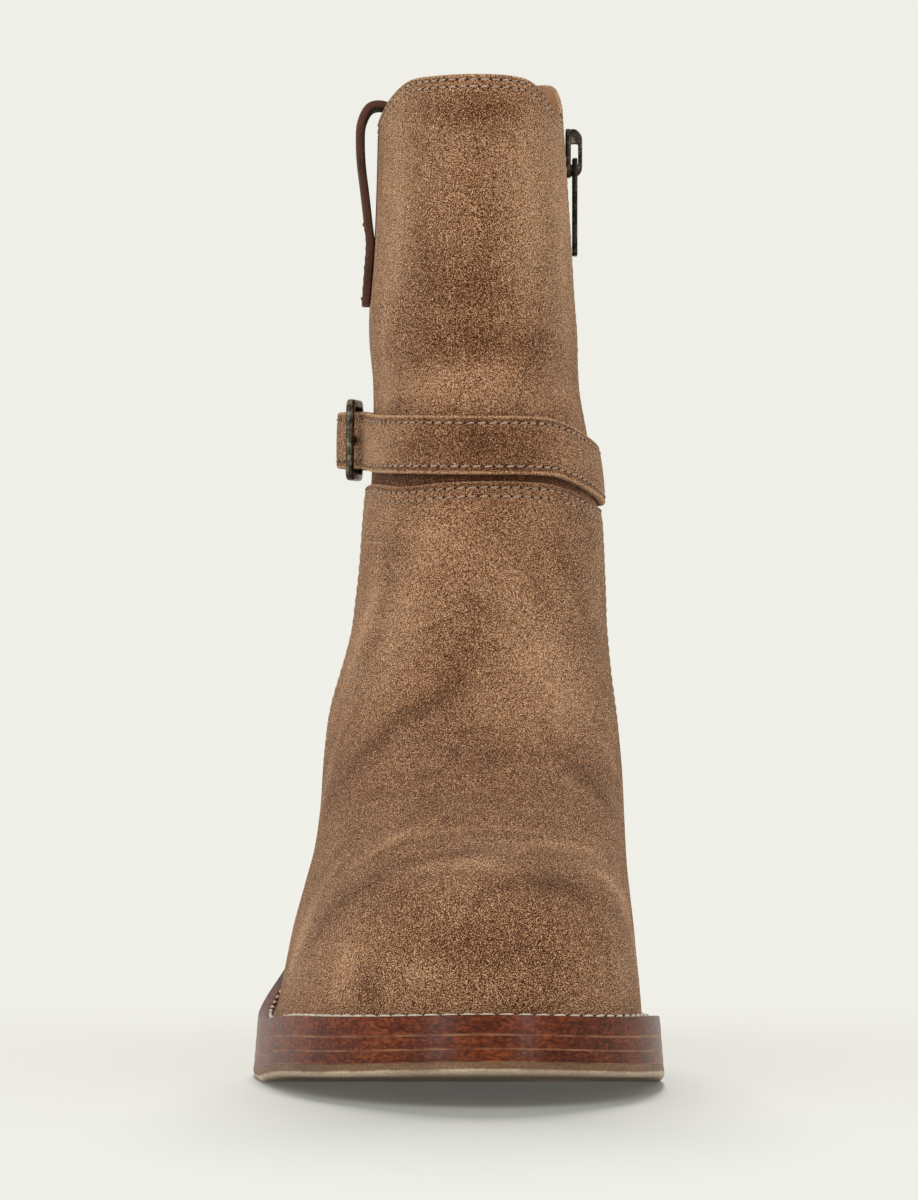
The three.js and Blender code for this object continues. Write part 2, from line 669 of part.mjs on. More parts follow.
const frameMesh = new THREE.ExtrudeGeometry(frameShape, {
  depth: buckleThickness, bevelEnabled: false, curveSegments: 5,
});
add('buckle_frame', frameMesh.translate(0, 0, frameBase), agedMetal, buckleGroup);

const barInner = buckleLength / 2 - buckleBar;
const frameTop = frameBase + buckleThickness;
const prongRest = frameTop + fit;
function prongMesh(margin) {
  const rear = -barInner + fit - margin;
  const tip = buckleLength / 2 + 0.8 + margin;
  const base = frameBase + fit;
  const shape = new THREE.Shape([
    [rear, base - margin], [-0.2 * barInner, base - margin], [barInner - 1, prongRest - margin],
    [tip, prongRest - margin], [tip, prongRest + prongThickness + margin],
    [barInner - 2, prongRest + prongThickness + margin], [rear, base + prongThickness + margin],
  ].map(([x, z]) => new THREE.Vector2(x, z)));
  const width = prongWidth + 2 * margin;
  const mesh = new THREE.ExtrudeGeometry(shape, { depth: width, bevelEnabled: false });
  return mesh.rotateX(Math.PI / 2).translate(0, width / 2, 0);
}
add('buckle_prong', prongMesh(0), agedMetal, buckleGroup);
buckleGroup.updateMatrixWorld(true);
const prongClear = solidOf(prongMesh(fit).applyMatrix4(buckleGroup.matrixWorld));
add('strap', geometryFrom(solidOf(overlay(strapColumns, strapRise)).subtract(prongClear)), suede);

// Pull loop: a strip from inside the collar, out over its edge, standing off the shaft and sewn on below.
// Columns: side of the wall, share of loopReach, height past the collar's edge as a share of loopDrop.
const loopTable = [
  [-1, 0, -0.24], [-1, 0, -0.06], [-1, 0, 0.038], [-0.7, 0, 0.066], [0, 0.12, 0.078], [0.65, 0.6, 0.056],
  [1, 0.95, -0.02], [1, 1, -0.12], [1, 0.88, -0.24], [1, 0.64, -0.36], [1, 0.42, -0.47], [1, 0.24, -0.56],
  [1, 0.02, -0.66], [1, 0, -0.8], [1, 0, -1],
];
function pullLoop() {
  const middle = rad(-90);
  const edge = upperPoint(middle, topRow).z;
  const speed = roundSpeed(middle, topRow - 0.5);
  const near = fit + loopThickness / 2;
  const path = loopTable.map(([side, reach, height]) => [
    side < 0 ? side * (wall + near) : side * near + reach * loopReach,
    edge + height * loopDrop,
  ]);
  const sideways = path.map(([o, z], i) => {
    const [before, after] = [path[Math.max(i - 1, 0)], path[Math.min(i + 1, path.length - 1)]];
    const size = Math.hypot(after[0] - before[0], after[1] - before[1]);
    return [-(after[1] - before[1]) / size, (after[0] - before[0]) / size, o, z];
  });
  const strip = (sign) => sideways.map(([so, sz, o, z]) => [-0.5, -0.25, 0, 0.25, 0.5].map((share) => {
    const angle = middle + share * loopWidth / speed;
    const distance = o + sign * so * loopThickness / 2;
    const height = z + sign * sz * loopThickness / 2;
    const row = rowAtHeight(angle, Math.min(height, edge));
    const normal = upperNormal(angle, row).setZ(0).normalize();
    return upperPoint(angle, row).addScaledVector(normal, distance).setZ(height);
  }));
  return sheetBody(strip(1), strip(-1), false);
}
add('pull_loop', pullLoop(), darkLeather);

export default boot;
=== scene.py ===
# Right ankle boot in brown suede with a side zip, a buckled strap and a stacked leather sole.
# Sizes and places are in millimetres here and become metres when a mesh is made.
import math

import bmesh
import bpy
import numpy as np
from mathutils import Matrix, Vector


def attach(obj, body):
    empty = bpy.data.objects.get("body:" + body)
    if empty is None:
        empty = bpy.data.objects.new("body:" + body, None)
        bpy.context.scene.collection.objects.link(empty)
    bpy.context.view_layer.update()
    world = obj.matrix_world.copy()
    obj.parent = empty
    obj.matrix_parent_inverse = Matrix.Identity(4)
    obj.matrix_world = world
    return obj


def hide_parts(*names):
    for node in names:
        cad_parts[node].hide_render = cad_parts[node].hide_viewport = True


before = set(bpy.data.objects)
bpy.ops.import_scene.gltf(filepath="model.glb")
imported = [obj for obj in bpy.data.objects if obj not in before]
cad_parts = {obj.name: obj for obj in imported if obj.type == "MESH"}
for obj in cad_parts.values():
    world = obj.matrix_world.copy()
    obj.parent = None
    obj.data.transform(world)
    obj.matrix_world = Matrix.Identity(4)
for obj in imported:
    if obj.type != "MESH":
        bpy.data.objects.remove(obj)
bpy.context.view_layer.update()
mm = 0.001
turn = 2 * math.pi

# Camera and room

camera = {
    "place": (-5, -1640, 128),
    "aim": (-5, -140, 120.2),
    "lens": 179.55,
}
room = {
    "floorSize": 200000,
    "floorColour": (0.33, 0.33, 0.33),
    "floorGlow": (0.078, 0.078, 0.072),
    "horizon": (0.863, 0.863, 0.799),
    "zenithGain": 0.4,
    "zenithFrom": 0.3,
    "frontDim": 0.3,
}
floorSun = {
    "rise": 46,
    "strength": 6.37,
    "spread": 20,
    "colour": (1, 1, 0.926),
}
# name, azimuth from the camera's line, height angle, distance, width, height, watts
softboxes = [
    ("left_box", -35, 12, 1700, 420, 1100, 8.5),
    ("right_box", 28, 10, 1700, 300, 1000, 6),
    ("top_box", 5, 50, 1700, 900, 700, 1.5),
]


def link(name, data):
    obj = bpy.data.objects.new(name, data)
    bpy.context.scene.collection.objects.link(obj)
    return obj


def feed(tree, socket, value):
    if isinstance(value, bpy.types.NodeSocket):
        tree.links.new(value, socket)
    else:
        socket.default_value = value


def addNode(tree, kind, inputs=None, **settings):
    node = tree.nodes.new(kind)
    for name, value in settings.items():
        setattr(node, name, value)
    for name, value in (inputs or {}).items():
        feed(tree, node.inputs[name], value)
    return node


def aimFrom(obj, place, aim):
    obj.location = place
    obj.rotation_euler = (aim - place).to_track_quat("-Z", "Y").to_euler()


def makeCamera():
    data = bpy.data.cameras.new("camera")
    data.lens = camera["lens"]
    data.sensor_width = 36
    data.clip_end = 500
    obj = link("camera", data)
    aimFrom(obj, Vector(camera["place"]) * mm, Vector(camera["aim"]) * mm)
    bpy.context.scene.camera = obj


def makeFloor():
    half = room["floorSize"] * mm / 2
    data = bpy.data.meshes.new("floor")
    corners = [(-half, -half, 0), (half, -half, 0), (half, half, 0), (-half, half, 0)]
    data.from_pydata(corners, [], [(0, 1, 2, 3)])
    floor = link("floor", data)
    paint = bpy.data.materials.new("floor_paint")
    paint.use_nodes = True
    shader = paint.node_tree.nodes["Principled BSDF"]
    for name, value in {
        "Base Color": (*room["floorColour"], 1), "Roughness": 0.9, "Specular IOR Level": 0,
        "Emission Color": (*room["floorGlow"], 1), "Emission Strength": 1,
    }.items():
        shader.inputs[name].default_value = value
    data.materials.append(paint)
    return floor


def makeWorld():
    world = bpy.data.worlds.new("studio")
    world.use_nodes = True
    tree = world.node_tree
    direction = addNode(tree, "ShaderNodeTexCoord").outputs["Generated"]
    split = addNode(tree, "ShaderNodeSeparateXYZ", {0: direction})

    def span(source, low, high, start, end):
        return addNode(tree, "ShaderNodeMapRange", {
            "Value": split.outputs[source], "From Min": low, "From Max": high, "To Min": start, "To Max": end,
        }, interpolation_type="SMOOTHSTEP").outputs["Result"]

    total = addNode(tree, "ShaderNodeMath", {
        0: span("Z", room["zenithFrom"], 0.97, 0, room["zenithGain"]),
        1: span("Y", -0.9, -0.1, room["frontDim"], 1),
    }, operation="ADD")
    background = tree.nodes["Background"]
    feed(tree, background.inputs["Strength"], total.outputs["Value"])
    feed(tree, background.inputs["Color"], (*room["horizon"], 1))
    bpy.context.scene.world = world


def addLight(name, kind, floor, floorState, **settings):
    light = bpy.data.lights.new(name, kind)
    for key, value in settings.items():
        setattr(light, key, value)
    obj = link(name, light)
    group = bpy.data.collections.new(name + "_floor")
    group.objects.link(floor)
    group.collection_objects[0].light_linking.link_state = floorState
    obj.light_linking.receiver_collection = group
    return obj


def makeLights(floor):
    aim = Vector((0, -90, 120)) * mm
    for name, azimuth, rise, distance, width, height, watts in softboxes:
        box = addLight(
            name, "AREA", floor, "EXCLUDE", energy=watts, shape="RECTANGLE",
            size=width * mm, size_y=height * mm)
        a, e = math.radians(azimuth), math.radians(rise)
        way = Vector((math.sin(a) * math.cos(e), -math.cos(a) * math.cos(e), math.sin(e)))
        aimFrom(box, aim + way * distance * mm, aim)
    sun = addLight(
        "floor_sun", "SUN", floor, "INCLUDE", energy=floorSun["strength"],
        angle=math.radians(floorSun["spread"]), color=floorSun["colour"])
    sun.rotation_euler = (math.radians(floorSun["rise"] - 90), 0, 0)


bpy.context.scene.view_settings.view_transform = "Standard"
floor = makeFloor()
makeCamera()
makeWorld()
makeLights(floor)
print("camera and room made")

# The last: the same sizes and tables as the part's own solids

last = {
    "footLength": 239,
    "ballWidth": 87,
    "heelHeight": 62,
    "instepRise": 80.3,
    "shaftHeight": 155,
    "backLift": 5,
    "collarDip": 12.5,
    "heelCentre": 0.8954,
    "soleThickness": 15.2,
    "toeSpring": 7.4,
    "weltReach": 6,
    "fit": 0.3,
}
fit = last["fit"]

# place along the foot, share of the sole's thickness, share of the heel's rise, share of the toe spring
soleProfile = [
    (-0.04, 0.94, 0, 1.15), (0, 0.94, 0, 0.97), (0.08, 0.965, 0, 0.7), (0.188, 0.99, 0, 0.42),
    (0.25, 1, 0, 0.17), (0.285, 1, 0, 0), (0.332, 1, 0, 0), (0.375, 0.98, 0.018, 0),
    (0.477, 0.89, 0.15, 0), (0.582, 0.76, 0.37, 0), (0.686, 0.63, 0.63, 0), (0.791, 0.56, 0.825, 0),
    (0.895, 0.53, 0.945, 0), (1.04, 0.53, 1, 0),
]
# angle from the toe over the inner side, half width of the feather line as a share of the ball's width
featherTable = [
    (0, 0.03), (20, 0.25), (40, 0.4), (60, 0.446), (75, 0.405), (90, 0.31), (110, 0.265), (130, 0.305),
    (150, 0.253), (165, 0.147), (180, -0.005), (195, -0.152), (210, -0.267), (230, -0.345), (250, -0.402),
    (270, -0.522), (285, -0.57), (300, -0.528), (320, -0.405), (340, -0.21),
]
lateralReach = 0.57
medialReach = 0.446
weltTable = [
    (0, 0.8), (30, 0.85), (60, 1), (80, 0.95), (100, 0.7), (130, 0.42), (180, 0.36), (230, 0.42), (260, 0.75),
    (280, 1), (300, 1), (330, 0.85),
]
# front, instep, shaft, back, rear, lateral, medial, outline, bow, dip for each ring from feather to collar
upperTable = np.array([
    (0, 0, 0, 1, 0, 0.57, 0.446, 1, 1, 0),
    (-0.004, 0.103, 0, 1.01, 0.035, 0.55, 0.44, 0.97, 0.94, 0),
    (0.008, 0.24, 0, 1.017, 0.07, 0.524, 0.432, 0.91, 0.83, 0),
    (0.046, 0.352, 0, 1.021, 0.105, 0.493, 0.428, 0.8, 0.72, 0),
    (0.104, 0.427, 0, 1.021, 0.135, 0.47, 0.43, 0.65, 0.61, 0),
    (0.188, 0.512, 0, 1.018, 0.17, 0.457, 0.434, 0.5, 0.44, 0),
    (0.272, 0.625, 0, 1.013, 0.205, 0.452, 0.434, 0.38, 0.33, 0),
    (0.356, 0.78, 0, 1.005, 0.24, 0.434, 0.422, 0.28, 0.22, 0),
    (0.433, 0.98, 0, 0.996, 0.285, 0.388, 0.4, 0.2, 0.14, 0),
    (0.496, 1, 0.117, 0.987, 0.34, 0.355, 0.386, 0.12, 0.06, 0),
    (0.536, 1, 0.24, 0.98, 0.405, 0.338, 0.374, 0.05, 0, 0),
    (0.558, 1, 0.355, 0.977, 0.48, 0.325, 0.352, 0, 0, 0),
    (0.568, 1, 0.48, 0.982, 0.575, 0.325, 0.318, 0, 0, 0),
    (0.572, 1, 0.6, 0.989, 0.665, 0.334, 0.303, 0, 0, 0),
    (0.573, 1, 0.76, 0.999, 0.79, 0.317, 0.287, 0, 0, 0.1),
    (0.565, 1, 1, 1.013, 1, 0.308, 0.266, 0, 0, 1),
])
collarTable = [
    (0, 0), (30, 0.06), (45, 0.27), (60, 0.68), (75, 0.79), (90, 0.8), (102, 0.36), (115, 0.06), (140, 0),
    (180, 0), (220, 0.1), (250, 0.6), (270, 0.86), (285, 0.72), (300, 0.38), (315, 0.1), (330, 0.03),
]
topRow = len(upperTable) - 1


def rad(degrees):
    return np.radians(degrees)


def mix(a, b, share):
    return a + (b - a) * share


def smoothStep(low, high, value):
    s = np.clip((value - low) / (high - low), 0, 1)
    return s * s * (3 - 2 * s)


def hermite(keys, values, slopes, at):
    k = np.clip(np.searchsorted(keys, at, side="right") - 1, 0, len(keys) - 2)
    span = keys[k + 1] - keys[k]
    s = np.clip((at - keys[k]) / span, 0, 1)
    bend = s * s * (3 - 2 * s)
    lead = s * (1 - s) ** 2 * span * slopes[k]
    trail = s * s * (s - 1) * span * slopes[k + 1]
    return mix(values[k], values[k + 1], bend) + lead + trail


def columnsOf(rows, column):
    return np.array([row[0] for row in rows], float), np.array([row[column] for row in rows], float)


def curveThrough(rows, at, column=1):
    keys, values = columnsOf(rows, column)
    steps = np.diff(values) / np.diff(keys)
    product = steps[:-1] * steps[1:]
    total = np.where(product > 0, steps[:-1] + steps[1:], 1)
    slopes = np.concatenate([steps[:1], np.where(product > 0, 2 * product / total, 0), steps[-1:]])
    return hermite(keys, values, slopes, np.asarray(at, float))


def curveRound(rows, angle):
    keys, values = columnsOf(rows, 1)
    keys = np.concatenate([keys - 360, keys, keys + 360])
    values = np.tile(values, 3)
    slopes = np.zeros(len(keys))
    slopes[1:-1] = (values[2:] - values[:-2]) / (keys[2:] - keys[:-2])
    return hermite(keys, values, slopes, np.degrees(angle) % 360)


def placeY(place):
    return (place - last["heelCentre"]) * last["footLength"]


def placeOf(y):
    return y / last["footLength"] + last["heelCentre"]


heelRise = last["heelHeight"] - last["soleThickness"] * 0.53


def soleLevel(y, share):
    place = placeOf(y)
    heel = heelRise * curveThrough(soleProfile, place, 2)
    toe = last["toeSpring"] * curveThrough(soleProfile, place, 3)
    return heel + toe + last["soleThickness"] * curveThrough(soleProfile, place, 1) * share


toeFeather = float(soleLevel(placeY(0), 1))
heelFeather = float(soleLevel(placeY(1), 1))
collarFront = toeFeather + last["instepRise"] + last["shaftHeight"]
backRise = collarFront + last["backLift"] - heelFeather


def featherX(angle):
    return last["ballWidth"] * curveRound(featherTable, angle)


def along(angle):
    return (1 - np.cos(angle)) / 2


def weltOut(angle):
    return last["weltReach"] * curveRound(weltTable, angle)


def solePlan(angle, grow):
    d = 0.01
    dx = featherX(angle + d) - featherX(angle - d)
    dy = placeY(along(angle + d)) - placeY(along(angle - d))
    size = np.hypot(dx, dy)
    return featherX(angle) + grow * dy / size, placeY(along(angle)) - grow * dx / size


def throughFour(p0, p1, p2, p3, s):
    curve = (2 * p0 - 5 * p1 + 4 * p2 - p3) * s ** 2 + (3 * p1 - p0 - 3 * p2 + p3) * s ** 3
    return p1 + 0.5 * ((p2 - p0) * s + curve)


def paired(angle, row):
    return np.broadcast_arrays(np.asarray(angle, float), np.asarray(row, float))


def upperRow(row):
    table = np.vstack([2 * upperTable[0] - upperTable[1], upperTable, 2 * upperTable[-1] - upperTable[-2]])
    k = np.clip(np.floor(row), 0, topRow - 1).astype(int)
    s = (row - k)[..., None]
    return np.moveaxis(throughFour(*(table[k + d] for d in range(4)), s), -1, 0)


def upperPoint(angle, row):
    angle, row = paired(angle, row)
    front, instep, shaft, back, rear, lateral, medial, outline, bow, dip = upperRow(row)
    share = along(angle)
    side = (1 + np.sin(angle)) / 2
    bowZ = soleLevel(placeY(share), 1) - mix(toeFeather, heelFeather, share)
    frontZ = toeFeather + instep * last["instepRise"] + shaft * last["shaftHeight"]
    backZ = heelFeather + rear * backRise
    half = last["ballWidth"] * mix(lateral, medial, side)
    unit = featherX(angle) / last["ballWidth"] / mix(lateralReach, medialReach, side)
    collar = dip * last["collarDip"] * curveRound(collarTable, angle)
    return np.stack([
        half * mix(np.sin(angle), unit, outline),
        mix(placeY(front), placeY(back), share),
        mix(frontZ, backZ, share) + bow * bowZ - collar + fit,
    ], -1)


def unitVector(v):
    return v / np.linalg.norm(v, axis=-1, keepdims=True)


def upperNormal(angle, row):
    d = 0.02
    angle, row = paired(angle, row)
    around = upperPoint(angle + d, row) - upperPoint(angle - d, row)
    up = upperPoint(angle, np.minimum(row + d, topRow)) - upperPoint(angle, np.maximum(row - d, 0))
    return unitVector(np.cross(around, up))


# Creases and swells, listed one by one: angle, height, half length, half width, turn from level, depth.
# A positive depth is a swell and a negative one is a trough.
creases = [
    (-10, 178, 30, 9, 8, -0.5),
    (25, 192, 24, 8, -14, 0.5),
    (-50, 190, 20, 7, 20, 0.9),
    (-62, 176, 16, 5, 12, -0.8),
    (50, 176, 22, 6, -18, -0.5),
    (0, 215, 26, 14, 4, 0.4),
    (-5, 132, 24, 7, 6, -0.5),
    (40, 122, 20, 8, -20, 0.5),
    (-45, 118, 22, 7, 18, -0.6),
    (10, 60, 22, 3.2, 3, -0.7),
    (-22, 63, 16, 2.6, -8, -0.5),
    (30, 62, 14, 2.6, 10, -0.5),
    (0, 66, 24, 4, 0, 0.4),
    (100, 105, 18, 6, 25, -0.7),
    (-100, 105, 18, 6, -25, -0.7),
]


# Lighter and darker patches of the nap, listed one by one: angle, height, half length, half width, turn,
# strength
# Some patches are the suede's own mottling and some are painted shade and light of folds, creases and the
# hollow above the strap.
patches = [
    (-4, 248, 18, 5, 0, -0.4), (12, 248, 9, 5, 0, -0.4), (-50, 225, 30, 6, 90, 0.5),
    (30, 228, 30, 8, 90, 0.4), (-72, 225, 25, 3, 90, -0.5), (60, 215, 25, 4, 90, 0.3),
    (6, 225, 14, 7, 90, -0.3), (-6, 203, 10, 9, 0, -0.45), (-28, 205, 16, 6, 90, -0.25),
    (0, 187, 16, 5, 0, -0.5), (33, 184, 14, 5, -60, -0.35), (-58, 187, 16, 4, 90, 0.4),
    (-5, 176, 24, 5, 0, 0.45), (-52, 171, 8, 3, 0, -0.5), (2, 160, 22, 7, 0, -0.55),
    (-60, 160, 10, 6, 0, 0.4), (46, 158, 12, 6, 0, 0.35), (-62, 112, 34, 6, 84, 0.5),
    (-36, 112, 22, 7, 86, 0.4), (-48, 132, 9, 6, 0, -0.35), (-16, 137, 12, 5, 0, 0.3),
    (-8, 103, 26, 6, 96, -0.5), (22, 106, 24, 8, 88, 0.4), (50, 118, 16, 6, 80, -0.3),
    (-30, 88, 20, 5, -55, -0.6), (-58, 86, 11, 3, 84, -0.5), (-68, 74, 22, 4, 80, 0.5),
    (4, 80, 12, 8, 90, -0.25), (20, 81, 16, 4, 75, 0.35), (34, 76, 10, 6, 60, -0.5),
    (62, 72, 18, 4, 84, 0.4), (-29, 60, 11, 3, -60, 0.55), (-52, 52, 14, 4, -60, 0.3),
    (-42, 46, 16, 4, -35, -0.5), (-13, 57, 14, 3.5, -14, -0.45), (0, 63, 20, 1.5, 0, 0.5),
    (27, 59, 12, 1.8, 22, 0.5), (41, 50, 9, 2, 38, 0.6), (-2, 55, 7, 4, 10, 0.65),
    (18, 51, 14, 4, 12, -0.55), (-60, 39, 9, 5, -60, 0.5), (-37, 33, 9, 6, -60, 0.65),
    (-64, 30, 9, 5, 90, 0.5), (-29, 28, 5, 4, 0, -0.6), (52, 36, 14, 5, 80, 0.55),
    (-9, 38, 14, 6, 0, -0.4), (-15, 31, 8, 3, 0, 0.3), (24, 36, 12, 8, 0, -0.15),
    (150, 150, 40, 14, 80, 0.4), (-140, 120, 40, 12, 75, 0.4), (180, 70, 24, 10, 90, -0.4),
    (110, 60, 20, 8, 20, 0.3), (-115, 55, 22, 8, -20, 0.35), (160, 225, 20, 12, 0, -0.3),
    (-120, 210, 24, 9, 80, -0.3),
]
# height, how much paler (above 0) or darker (below 0) the nap is painted there; the darker band over the toe
# box is painted shade, set against the light its upward faces catch
heightShadeAndTone = [
    (0, 0.1), (26, 0.1), (46, -0.1), (72, -0.2), (100, 0.03), (150, 0.05), (185, 0.06), (235, 0.25),
    (270, 0.25),
]


def laidField(table, points):
    total = np.zeros(points.shape[:-1])
    for degrees, level, length, width, tilt, depth in table:
        middle = rad(degrees)
        row = rowAtHeight(middle, level)
        centre = upperPoint(middle, row)
        normal = upperNormal(middle, row)
        side = unitVector(np.cross(normal, (0, 0, 1)))
        up = np.cross(side, normal)
        gap = points - centre
        a = gap @ side
        b = gap @ up
        lean = math.radians(tilt)
        u = a * math.cos(lean) + b * math.sin(lean)
        v = b * math.cos(lean) - a * math.sin(lean)
        near = np.exp(-((gap @ normal) / (2.5 * length)) ** 2)
        total += depth * np.exp(-(u / length) ** 2 - (v / width) ** 2) * near
    return total


def upperOffset(angle, row, distance):
    angle, row = paired(angle, row)
    point = upperPoint(angle, row)
    normal = upperNormal(angle, row)
    lift = distance + laidField(creases, point) * smoothStep(0.3, 1.5, row)
    raised = point + normal * np.asarray(lift)[..., None]
    flat = normal.copy()
    flat[..., 2] = 0
    low = point + unitVector(flat) * np.broadcast_to(distance, row.shape)[..., None]
    low[..., 2] = soleLevel(low[..., 1], 1) + fit
    return mix(low, raised, smoothStep(0, 0.25, row)[..., None])


def rowAtHeight(angle, z):
    angle, z = paired(angle, z)
    low = np.zeros(z.shape)
    high = np.full(low.shape, float(topRow))
    for _ in range(26):
        middle = (low + high) / 2
        under = upperPoint(angle, middle)[..., 2] < z
        low = np.where(under, middle, low)
        high = np.where(under, high, middle)
    return (low + high) / 2


def roundSpeed(angle, row):
    d = 0.01
    gap = upperPoint(angle + d, row) - upperPoint(angle - d, row)
    return np.linalg.norm(gap, axis=-1) / (2 * d)


# Mesh making


def dress(name, data, replaced=(), body="boot"):
    obj = link(name, data)
    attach(obj, body)
    if replaced:
        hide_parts(*replaced)
    return obj


def makePiece(name, points, faces, material, slotName, replaced=(), merge=0.0, seam=None, wearAndShade=0.0):
    data = bpy.data.meshes.new(name)
    data.from_pydata((np.asarray(points).reshape(-1, 3) * mm).tolist(), [], faces)
    if slotName == "suede":
        spots = np.asarray(points).reshape(-1, 3)
        layer = data.attributes.new("wearAndShade", "FLOAT", "POINT")
        # the nap's tone: mottling, height bands and each piece's bands; part of it is painted shade and light
        # of folds, the toe box and the strap
        rubbedAndShaded = laidField(patches, spots) + 0.5 + curveThrough(heightShadeAndTone, spots[:, 2]) + np.ravel(wearAndShade)
        layer.data.foreach_set("value", rubbedAndShaded)
    if seam is not None:
        layer = data.attributes.new("seam", "FLOAT", "POINT")
        layer.data.foreach_set("value", np.ascontiguousarray(seam, float).ravel())
    data.materials.append(material)
    if merge:
        work = bmesh.new()
        work.from_mesh(data)
        bmesh.ops.remove_doubles(work, verts=work.verts, dist=merge * mm)
        bmesh.ops.recalc_face_normals(work, faces=work.faces)
        work.to_mesh(data)
        work.free()
    data.shade_smooth()
    return dress(name, data, replaced)


def gridFaces(columns, rows, start=0, wrapColumns=False, wrapRows=False, flip=False):
    faces = []
    for i in range(columns if wrapColumns else columns - 1):
        n = (i + 1) % columns
        for j in range(rows if wrapRows else rows - 1):
            m = (j + 1) % rows
            face = (start + i * rows + j, start + n * rows + j, start + n * rows + m, start + i * rows + m)
            faces.append(face[::-1] if flip else face)
    return faces


def shellFaces(columns, rows, wrap=False):
    count = columns * rows
    faces = gridFaces(columns, rows, 0, wrap) + gridFaces(columns, rows, count, wrap, flip=True)
    for i in range(columns if wrap else columns - 1):
        n = (i + 1) % columns
        a, b = i * rows, n * rows
        faces.append((count + a, count + b, b, a))
        e = rows - 1
        faces.append((a + e, b + e, count + b + e, count + a + e))
    if not wrap:
        z = (columns - 1) * rows
        for j in range(rows - 1):
            faces.append((j, j + 1, count + j + 1, count + j))
            faces.append((count + z + j, count + z + j + 1, z + j + 1, z + j))
    return faces


def sweepFaces(columns, section, closed=False):
    faces = gridFaces(columns, section, 0, closed, True)
    if not closed:
        faces.append(tuple(range(section))[::-1])
        end = (columns - 1) * section
        faces.append(tuple(end + k for k in range(section)))
    return faces


# Materials: mottling, grain and gloss from nodes on object coordinates

suedeLook = {
    "dark": (0.044, 0.012, 0.0038),
    "middle": (0.174, 0.063, 0.0225),
    "light": (0.342, 0.161, 0.072),
    "speck": (0.74, 0.46, 0.28),
    "blotchScale": 34,
    "blotchGain": 0.4,
    "patchScale": 150,
    "patchGain": 0.3,
    "fleckScale": 3500,
    "fleckGain": 1.22,
    "wearAndShadeGain": 0.4,
    "grainDepth": 0.0003,
    "sheen": 0.11,
    "sheenTint": (0.88, 0.8, 0.67, 1),
}
edgePaint = {
    "dark": (0.03, 0.006, 0.003),
    "middle": (0.108, 0.02, 0.006),
    "light": (0.27, 0.064, 0.018),
    # the seam colour is a painted highlight along the sole layers' rounded edges at their joints, and also
    # marks the lines of the heel's stack
    "seam": (0.42, 0.21, 0.11),
    "fibreScale": 380,
    "roughness": 0.34,
    "coat": 0.06,
}


class Looks:
    def __init__(self, name, roughness=0.5):
        self.material = bpy.data.materials.new(name)
        self.material.use_nodes = True
        self.tree = self.material.node_tree
        self.shader = self.tree.nodes["Principled BSDF"]
        self.place = addNode(self.tree, "ShaderNodeTexCoord").outputs["Object"]
        self.set(Roughness=roughness)

    def set(self, **values):
        for name, value in values.items():
            feed(self.tree, self.shader.inputs[name.replace("_", " ")], value)

    def add(self, kind, output, inputs, **settings):
        return addNode(self.tree, kind, inputs, **settings).outputs[output]

    def stretched(self, scale):
        return self.add("ShaderNodeMapping", "Vector", {"Vector": self.place, "Scale": scale})

    def noise(self, scale, detail=2, rough=0.5, place=None, distortion=0.0):
        return self.add("ShaderNodeTexNoise", "Fac", {
            "Vector": place or self.place, "Scale": scale, "Detail": detail, "Roughness": rough,
            "Distortion": distortion})

    def math(self, operation, a, b):
        return self.add("ShaderNodeMath", "Value", {0: a, 1: b}, operation=operation)

    def weighted(self, *pairs):
        total = 0.5
        for output, gain in pairs:
            shifted = self.math("SUBTRACT", output, 0.5)
            total = self.math("ADD", self.math("MULTIPLY", shifted, gain), total)
        return total

    def span(self, value, low, high, start=0.0, end=1.0):
        return self.add("ShaderNodeMapRange", "Result", {
            "Value": value, "From Min": low, "From Max": high, "To Min": start, "To Max": end})

    def ramp(self, value, *stops):
        node = addNode(self.tree, "ShaderNodeValToRGB", {"Fac": value})
        elements = node.color_ramp.elements
        while len(elements) < len(stops):
            elements.new(0.5)
        for element, (position, colour) in zip(elements, stops):
            element.position = position
            element.color = (*colour, 1)
        return node.outputs["Color"]

    def attribute(self, name):
        return self.add("ShaderNodeAttribute", "Fac", {}, attribute_name=name)

    def blend(self, kind, share, a, b):
        node = addNode(self.tree, "ShaderNodeMix", {0: share}, data_type="RGBA", blend_type=kind)
        sockets = [socket for socket in node.inputs if socket.type == "RGBA"]
        for socket, value in zip(sockets, (a, b)):
            feed(self.tree, socket, (*value, 1) if isinstance(value, tuple) else value)
        return [socket for socket in node.outputs if socket.type == "RGBA"][0]

    def bump(self, height, distance, strength, under=None):
        inputs = {"Height": height, "Distance": distance, "Strength": strength}
        if under:
            inputs["Normal"] = under
        return self.add("ShaderNodeBump", "Normal", inputs)


